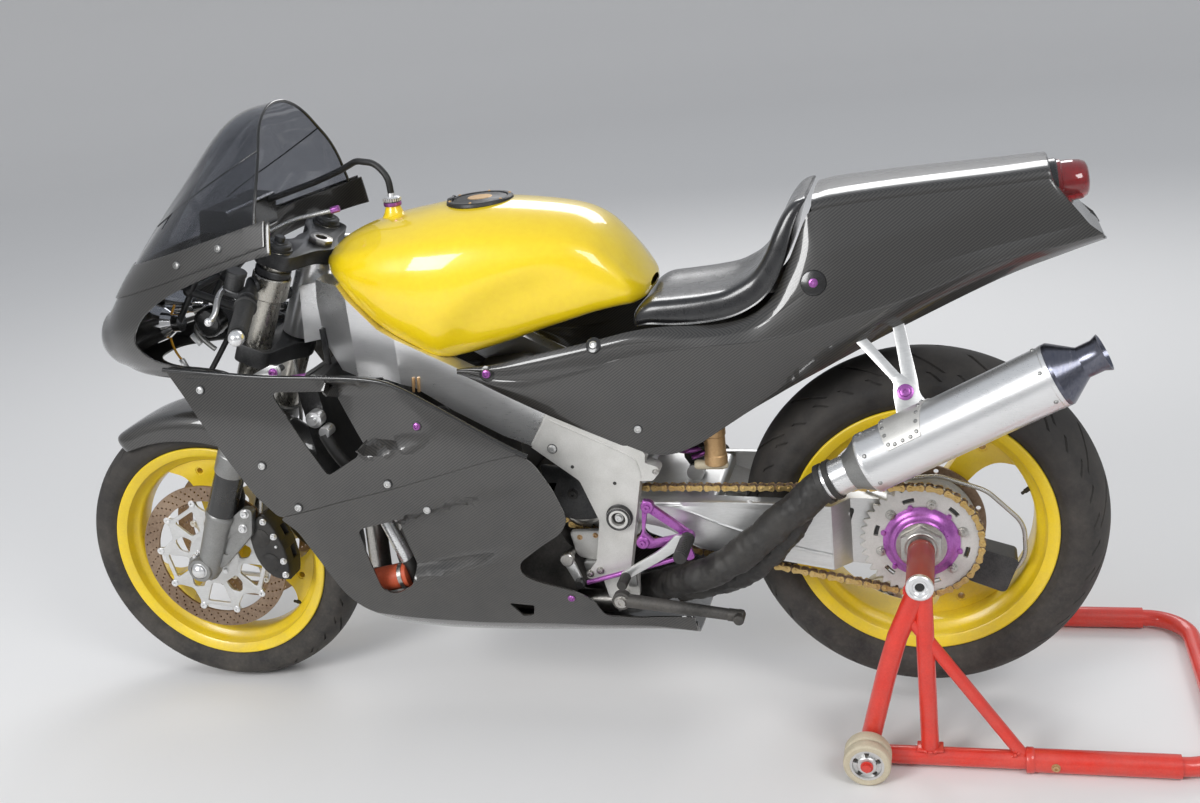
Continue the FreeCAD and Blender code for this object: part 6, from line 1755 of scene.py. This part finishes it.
dressed([rod(bike(624, 168, 344), bike(624, 96, 344), 7, 20), solid(bike(625, 0, 345), LEFT,
    ((13, 158), (13, 169), (11, 171)), 24)], "gear_shaft", "steel")

# Swingarm side: a broad upper facet, a crease that runs down to the rear, and a bolt on top
ARM_ROWS = ((497, 438, 434, 403), (440, 438, 433, 388), (400, 438, 423, 361), (360, 439, 406, 347),
    (300, 437, 384, 339), (230, 433, 361, 329), (175, 428, 347, 318), (152, 424, 342, 314))
arm_rows = []
for x, top, crease, low in ARM_ROWS:
    arm_rows.append([bike(x, y, z) for y, z in ((110, top + 2.5), (124, top + 2), (127.5, top - 4),
        (130.6, crease + 3), (131.4, crease), (129.5, crease - 4), (128.8, low + 5), (124, low - 2),
        (110, low - 2.5))])
arm_side = skin(arm_rows, 60, 65)
shelled(arm_side, LEFT, 0.002)
dressed(with_twin(arm_side), "swingarm_side_skins", "satin_alloy", angle=12)
heads("swingarm_bolts", "polished_alloy", [(143, 88, 357, 11, 6), (292, 121, 437, 4, 3), (60, 88, 300, 5, 4)])

# Exhaust: wrapped link pipe, silencer with its riveted patch, hanger


def crinkled(piece, amount, grain):
    """Uneven wrapping: broad folds and small lumps pushed along the normals, in millimetres."""
    moves = [vertex.normal * (noise.noise(vertex.co * grain) + 0.5 * noise.noise(vertex.co * grain * 3.1))
        for vertex in piece.data.vertices]
    for vertex, move in zip(piece.data.vertices, moves):
        vertex.co += move * amount / 1000
    return piece


wrap = bent_line(((560, 50, 214), (476, 96, 256), (424, 146, 296), (366, 178, 324), (306, 184, 362),
    (238, 190, 426), (170, 195, 490), (152, 198, 503)), 29, sides=12, fine=22)
second = bent_line(((430, 120, 262), (360, 150, 290), (290, 160, 322), (228, 168, 385), (196, 176, 440),
    (172, 184, 478)), 22, sides=10, fine=22)
dressed([crinkled(wrap, 4, 30), crinkled(second, 5, 34)], "wrapped_link_pipe", "black_steel", "link_pipe",
    angle=25)
CAN_START, CAN_END = bike(140, 200, 512), bike(-268, 225, 724)
CAN_AXIS = (CAN_END - CAN_START).normalized()
FOOT_SPOT = bike(16, 166, 652)
can_up = FOOT_SPOT - CAN_START
can_up = (can_up - CAN_AXIS * can_up.dot(CAN_AXIS)).normalized()
can_out = CAN_AXIS.cross(can_up)
can_out = can_out if can_out.y > 0 else -can_out


def on_can(distance, angle, radius=51):
    """Place on the can: mm from its start, degrees from the hanger towards the outside; and the way out."""
    turn = math.radians(angle)
    ray = can_up * math.cos(turn) + can_out * math.sin(turn)
    return CAN_START + CAN_AXIS * (distance / 1000) + ray * (radius / 1000), ray


ties = [hollow(CAN_START, CAN_AXIS, ((31.2, low), (35, low), (35, low + 9), (31.2, low + 9)), 40)
    for low in (-16, 0)]
dressed(ties, "silencer_clamps", "black_steel")
stub = solid(CAN_START, CAN_AXIS, ((31, -12), (31, 40)), 48)
can = solid(CAN_START, CAN_AXIS, ((48.5, 69), (51, 70), (51.7, 72), (51.7, 77), (51, 78.5), (51, 391),
    (51.7, 392), (51.7, 398)), 96)
dressed([stub, can], "silencer_can", "polished_alloy", "silencer", angle=25)
dressed(solid(CAN_START, CAN_AXIS, ((33, 39), (34, 44), (47.5, 67), (48, 69)), 64), "silencer_inlet_cone",
    "grey_casting", angle=25)
dressed(solid(CAN_START, CAN_AXIS, ((50.5, 397), (51.6, 399), (51.6, 404), (49, 408), (28, 437),
    (25.5, 441), (25.5, 465), (29, 473), (30, 476), (28.4, 476.4), (23, 467), (22.5, 420)), 64),
    "silencer_end_cone", "blued_steel", angle=25)
patch = skin([[on_can(distance + lean * angle / 90, angle, 51.3)[0] for angle in range(-20, 101, 10)]
    for distance, lean in ((116, 6), (145, 3), (175, -6), (206, -22))], 12, 49)
shelled(patch, can_out + can_up, 0.0022, offset=1)
dressed(rounded(patch, 0.0005, 1, 50), "silencer_patch", "cast_alloy", angle=30)
rivets = [on_can(distance + lean * angle / 90, angle, 52.8) for angle in range(0, 91, 18)
    for distance, lean in ((122, 6), (199, -21))]
rivets += [on_can(distance, 94, 52.8) for distance in (138, 152, 166)]
rivets += [on_can(distance, angle, 51.2) for distance in (84, 385) for angle in range(30, 360, 60)]
dressed([dome(place, ray, 3.8, 2.6) for place, ray in rivets], "silencer_rivets", "grey_casting")
LEAN = math.radians(30.6)


def leaned(x, height):
    """Place on the hanger's plate, which leans in over the wheel about its bolt."""
    rise = height - 652
    return bike(x, 166 - rise * math.sin(LEAN), 652 + rise * math.cos(LEAN))


HANGER = [(28, 600, 4), (36, 652, 20), (34, 668, 10), (126, 774, 2), (108, 780, 2), (22, 680, 6),
    (42, 806, 2), (26, 810, 2), (-4, 672, 10), (-6, 650, 12), (-20, 634, 6), (-21, 622, 3)]
lean_normal = Vector((0, math.cos(LEAN), math.sin(LEAN)))
hanger = plate([leaned(spot.x, spot.y) for spot in softened(HANGER, 6, 4)], lean_normal * 0.0035, 0.0007)
dressed(hanger, "silencer_hanger_plate", "satin_alloy", "silencer_hanger")
dressed([headed(FOOT_SPOT + lean_normal * 0.0034, lean_normal, 8, 6.5, 20), hollow(FOOT_SPOT, lean_normal,
    ((8, 3.4), (13.5, 3.4), (13.5, 4.8), (12, 5.6), (8, 5.6)), 28)], "silencer_hanger_bolt", "purple_alloy")

# Shock and its reservoir, subframe rails
shock_low, shock_high = bike(404, 0, 453), bike(420, 0, 640)
shock_axis = (shock_high - shock_low).normalized()
coils = [shock_low + shock_axis * (0.034 + 0.0125 * turn / 8)
    + Matrix.Rotation(math.tau * turn / 8, 3, shock_axis) @ Vector((0, 0.031, 0)) for turn in range(0, 72)]
body_line = solid(shock_low, shock_axis, ((14, 12), (16, 18), (20, 26), (20, 140), (34, 146), (34, 158),
    (18, 162), (14, 178)), 36)
eyes = [rod(spot - LEFT * 0.0135, spot + LEFT * 0.0135, 15, 28) for spot in (shock_low, shock_high)]
dressed([body_line] + eyes, "shock_body", "dark_alloy", "rear_shock")
dressed(tube(coils, 4.6, sides=4, fine=4), "shock_spring", "purple_alloy", angle=50)
RESERVOIR = ((352, 82, 500), (352, 82, 566))
can_low, can_high = [bike(*spot) for spot in RESERVOIR]
dressed(solid(can_low, (can_high - can_low).normalized(), ((19, -4), (20.5, -2), (20.5, 14), (19, 16),
    (19, 50), (20.5, 52), (20.5, 64), (17, 67)), 32), "shock_reservoir", "brass")
dressed(lathe(bike(392, 82, 494), Vector((-1, 0, 0)), ((0.01, 0), (7, 1), (9, 6), (9, 52), (6, 60),
    (0.01, 62)), 24), "shock_adjuster", "wheel_tread")
dressed(rod(bike(372, 70, 520), bike(404, 20, 520), 6, 16), "shock_hose", "hose_rubber")
RAILS = [tube([bike(x, y, z) for x, y, z in ((640, 120, 606), (420, 112, 640), (100, 82, 770),
    (-180, 52, 900))], 10.5, sides=6, fine=16)]
cross_bars = [rod(bike(420, -112, 640), bike(420, 112, 640), 9), rod(bike(-170, -72, 893),
    bike(-170, 72, 893), 8)]
dressed([with_twin(RAILS)] + cross_bars, "subframe_rails", "black_steel", "subframe", angle=40)

# Behind the openings of the side panel
dressed([rod(bike(966, 176, 440), bike(931, 176, 346), 12.5, 28), solid(bike(1060, 0, 634), LEFT, ((8, 206),
    (9, 203), (9, 196), (15, 195), (16, 193), (16, 174)), 28), solid(bike(1042, 0, 610), LEFT,
    ((10, 198), (11, 196), (11, 172)), 28)], "cooling_fittings", "polished_alloy")
dressed(crinkled(rod(bike(1010, 176, 300), bike(930, 176, 318), 24, 40), 0.8, 60), "cooling_coupler",
    "orange_hose")
dressed([hollow(bike(x, 176, z), Vector((-1, 0, 0.22)).normalized(), ((24.4, -4), (25.8, -4), (25.8, 4),
    (24.4, 4)), 36) for x, z in ((1000, 302), (942, 315))], "cooling_clips", "steel")
dressed([bent_line(((930, 176, 350), (918, 172, 322), (930, 168, 300)), 14), bent_line(((1046, 190, 606),
    (1030, 188, 560), (1000, 176, 520), (960, 160, 500)), 11), bent_line(((966, 176, 440), (990, 172, 474),
    (1010, 164, 500)), 14.5)], "cooling_hoses", "hose_rubber", angle=50)

# Side stand
STAND_PIVOT = bike(525, 186, 276)
leg = rod(STAND_PIVOT + Vector((-0.006, 0, -0.001)), bike(330, 190, 252), 12.5, 28, 0.001, 10.5)
eye = hollow(STAND_PIVOT, LEFT, ((7.4, -9), (15, -9), (17, -7), (17, 7), (15, 9), (7.4, 9)), 32)
foot = rod(bike(313, 181, 250), bike(313, 209, 250), 9.5, 24, 0.0015)
knob = rod(bike(334, 190, 252.4), bike(306, 190.2, 249), 11.6, 20, 0.0015)
dressed([leg, eye, foot, knob], "side_stand_leg", "engine_metal", "side_stand", body="side_stand", angle=35)
heads("side_stand_bolt", "steel", [(525, 195.4, 276, 9, 6)], twin=False)

# Paddock stand


STAND_RAIL_Y = 250


def floor_spot(x, y, z):
    return Vector((REAR_AXLE_X + x / 1000, y / 1000, z / 1000))


sleeve = solid(REAR_HUB, LEFT, ((14.6, 62), (14.6, 146), (22, 146), (23, 147), (23, 154), (22, 155),
    (22, 158), (23, 159), (23, 275)), 48)
dressed(sleeve, "stand_pin_sleeve", "sleeve_red", "stand_sleeve", angle=30)
ring_end = hollow(REAR_HUB, LEFT, ((7.9, 262), (7.9, 279), (11, 279), (13, 281), (16.5, 281), (17, 284),
    (20.5, 284), (22.5, 282.5), (22.5, 275), (20, 274), (20, 262)), 48)
dressed([ring_end, hollow(REAR_HUB, LEFT, ((14.8, 141), (20, 141), (20, 146), (14.8, 146)), 40)],
    "stand_sleeve_end_ring", "polished_alloy", angle=30)
beads = [ring_weld(bike(8, STAND_RAIL_Y, 334), Vector((0, 1, 0)), 18.5, 12)]
LEG_ENDS = (((92, 46), (0.25, 0, -1), 17.5), ((-8, 36), (0, 0, 1), 15.6), ((-148, 36), (-0.6, 0, -0.8), 11.8))
for (x, z), ray, radius in LEG_ENDS:
    beads.append(ring_weld(floor_spot(x, STAND_RAIL_Y, z), Vector(ray).normalized(), radius, 12))
saddle = plate([floor_spot(x, 236, z) for x, z in ((-30, 35), (14, 35), (14, 40), (-30, 40))], LEFT * 0.028,
    0.0015)
collars = [hollow(floor_spot(0, y, 20), Vector((-1, 0, 0)), ((16.4, 164), (20.6, 164), (22, 166), (22, 176),
    (20.4, 178), (16.4, 178)), 32) for y in (STAND_RAIL_Y, -STAND_RAIL_Y)]
dressed(beads + [saddle] + collars, "stand_welds_and_collars", "red_powder", angle=40)
dressed(solid(REAR_HUB, LEFT, ((7.8, 276.6), (7.8, 268)), 24), "stand_sleeve_bore", "black_steel")
bolts = [headed(floor_spot(-211, 270 * side, 20), LEFT * side, 5.5, 5, 20) for side in (1, -1)]
dressed(bolts, "stand_bar_bolts", "brass")
dressed([headed(floor_spot(95, 321.5 * side, 40), LEFT * side, 8, 7, 6) for side in (1, -1)],
    "stand_wheel_bolts", "red_powder")
for side, body in ((1, "stand_wheels_left"), (-1, "stand_wheels_right")):
    node = "stand_wheel_left" if side > 0 else "stand_wheel_right"
    hub_spot = floor_spot(95, 0, 40)
    tyres, hubs = [], []
    for low in (272, 298):
        tyres.append(hollow(hub_spot, LEFT * side, ((29, low + 1), (36, low), (39, low + 2), (40, low + 5),
            (40, low + 17), (39, low + 20), (36, low + 22), (29, low + 21)), 48))
        hub = hollow(hub_spot, LEFT * side, ((7.6, low), (15, low), (17, low + 2), (17, low + 7),
            (24, low + 7), (25, low + 2), (29.2, low + 2), (29.2, low + 20), (25, low + 20), (24, low + 15),
            (17, low + 15), (17, low + 20), (15, low + 22), (7.6, low + 22)), 48)
        holes = []
        for index in range(5):
            turn = math.tau * index / 5
            spot = hub_spot + mm(math.sin(turn) * 20.5, 0, math.cos(turn) * 20.5)
            holes.append(rod(spot + LEFT * side * (low - 5) / 1000, spot + LEFT * side * (low + 27) / 1000,
                4.6, 16, 0))
        hubs.append(cut(hub, joined(holes)))
    hubs.append(hollow(hub_spot, LEFT * side, ((7.6, 290), (15, 290), (15, 302), (7.6, 302)), 32))
    dressed(tyres, node + "_tyres", "wheel_tread", node, body=body, angle=35)
    dressed(hubs, node + "_hubs", "satin_alloy", body=body, angle=35)

# Tank top: breather neck and cap, filler ring and lid

NECK = bike(925, 0, 0)
dressed(solid(NECK, UP, ((26, 950), (21, 960), (17.5, 966), (14.5, 974), (13, 979)), 40), "breather_neck",
    "tank_paint", angle=50)
knurl = solid(NECK, UP, ((15, 977.5), (16.5, 979), (16.5, 984), (15.4, 985.5)), 40)
dressed(knurl, "breather_cap_collar", "purple_alloy", angle=30)
rays = [Matrix.Rotation(math.tau * index / 24, 3, "Z") @ Vector((0.0155, 0, 0)) for index in range(24)]
cap_rim = [rod(NECK + UP * 0.9865 + ray, NECK + UP * 0.9925 + ray, 1.5, 8, 0) for ray in rays]
dressed([solid(NECK, UP, ((15, 985), (16, 986.5), (16, 991), (13, 994), (7, 995), (6, 1001)),
    40)] + cap_rim, "breather_cap", "polished_alloy", angle=30)
TOP = bike(756, 0, 0)
dressed(hollow(TOP, UP, ((50.3, 974), (50.3, 982.5), (51.5, 983.5), (58, 983.2), (60, 981.5), (61, 977),
    (60, 974)), 72), "filler_trim_ring", "dark_alloy", "filler_ring", angle=30)
screws = [dome(TOP + Vector((math.cos(turn) * 0.0552, math.sin(turn) * 0.0552, 0.9833)), UP, 3, 1.8)
    for turn in [math.tau * (index + 0.5) / 6 for index in range(6)]]
dressed(screws, "filler_ring_screws", "brass")

# Filler lid, its hinge, and what is set on the panels


def on_hinge(y, z=983.5):
    return bike(809.5, y, z)


lid = solid(TOP, UP, ((24, 983.4), (26, 982.6), (46, 982.6), (49, 981.6), (49.4, 980.4), (49.4, 977.3)), 72)
ear = rod(TOP + Vector((0.046, 0, 0.9812)), TOP + Vector((0.0535, 0, 0.9835)), 3.6, 16)
knuckle = rod(on_hinge(-8.6), on_hinge(8.6), 3.6, 20)
dressed([lid, ear, knuckle], "filler_lid_cap", "dark_alloy", "filler_lid", body="filler_lid", angle=30)
dressed(solid(TOP, UP, ((21, 984.4), (22.5, 983.4), (22.5, 982.4)), 48), "filler_lid_badge", "brass",
    body="filler_lid", angle=30)
lugs = [rod(on_hinge(y), on_hinge(y + 5), 4, 20) for y in (-14.3, 9.3)]
feet = [rod(on_hinge(y + 2.5, 975), on_hinge(y + 2.5), 2.4, 16) for y in (-14.3, 9.3)]
dressed(lugs + feet + [rod(on_hinge(-14.8), on_hinge(14.8), 1.5, 16)], "filler_lid_lugs", "dark_alloy")


def met(name, x, z, lift=0):
    """Place and normal where a line from the left meets a piece."""
    bpy.context.view_layer.update()
    place, normal = bpy.data.objects[name].ray_cast(bike(x, 700, z), -LEFT)[1:3]
    return place + normal * (lift / 1000), normal


for name, slot, panel, radius, spots in (("tail_bolts", "purple_alloy", "tail_sides", 9,
        ((157, 834), (730, 702))), ("tail_screws", "satin_alloy", "tail_sides", 8,
        ((470, 593), (533, 747))), ("strip_screws", "grey_casting", "screen_foot_strip", 8,
        ((1171, 961), (1262, 934)))):
    lift = 3 if name == "tail_bolts" else 0.4
    fastened(name, slot, both_sides([met(panel, x, z, lift) for x, z in spots]), radius)
bosses = [solid(place, normal, ((15, 3.6), (20, 2.4), (23, -3)), 40)
    for place, normal in both_sides([met("tail_sides", 157, 834)])]
cups = [solid(place, normal, ((12, 1.2), (14, 0.4), (14.4, -3)), 32)
    for place, normal in both_sides([met("tail_sides", 533, 747, -0.6), met("tail_sides", 730, 702)])]
dressed(bosses + cups, "tail_bolt_bosses", "black_plastic", angle=30)
pins = [rod(bike(x, 150, 695), bike(x + 3, 150, 668), 2.6, 12) for x in (864, 874)]
dressed(with_twin(pins), "spar_pins", "brass")

# Rolled rear edge and creases of the screen
RIM_ROW = hood_row(1099, 692, 183, 210, 973, 118, 1120, 1181)
rim_spots = []
for place in RIM_ROW[2:21] + [Vector((place.x, -place.y, place.z)) for place in RIM_ROW[19:1:-1]]:
    if place.z > 0.985:
        rim_spots.append(place + Vector((max(place.z - 1.08, 0) * 0.223, 0, 0)))
creases = [tube([OVER @ bike(*spot) if side < 0 else bike(*spot) for spot in ((1330, 131, 991),
    (1301, 131, 1010), (1186, 151, 1071), (1106, 125, 1113))], 1.3, sides=4) for side in (1, -1)]
dressed([tube(rim_spots, 2.8, sides=5, fine=4)] + creases, "screen_rim", "black_plastic", angle=50)

# Cockpit: cables, connectors, gauge and stay
CABLES = (
    ("cockpit_yellow_wires", "wire_yellow", "chassis", 2.4, ((1377, 60, 824), (1398, 60, 792),
        (1402, 60, 735), (1385, 60, 712))),
    ("cockpit_grey_cable", "grey_casting", "chassis", 5, ((1322, 62, 806), (1336, 62, 792), (1342, 62, 762),
        (1308, 62, 734))),
    ("cockpit_stay", "black_steel", "chassis", 5.5, ((1284, 20, 768), (1316, 20, 724), (1351, 20, 681))),
    ("yoke_cable", "braid", "steering", 4, ((1150, 62, 955), (1104, 61, 973), (1060, 60, 981),
        (1020, 56, 986))),
)
for name, slot, body, radius, spots in CABLES:
    dressed(bent_line(spots, radius, sides=5), name, slot, body=body, angle=50)
ends = [rod(bike(1166, 62, 949), bike(1150, 62, 955), 6.5, 6), rod(bike(1022, 56, 986), bike(1006, 54, 989),
    6.5, 6)]
dressed(ends, "yoke_cable_fittings", "purple_alloy", body="steering")
dressed([rod(bike(1387, 60, 716), bike(1380, 60, 698), 6, 12), rod(bike(1354, 60, 764), bike(1338, 60, 744),
    7, 4)], "cockpit_connectors", "satin_alloy")
dressed(solid(bike(1309, 0, 788), LEFT, ((22, 70), (25, 72), (28, 70), (29, 64), (29, 44)), 48),
    "cockpit_gauge", "black_plastic")
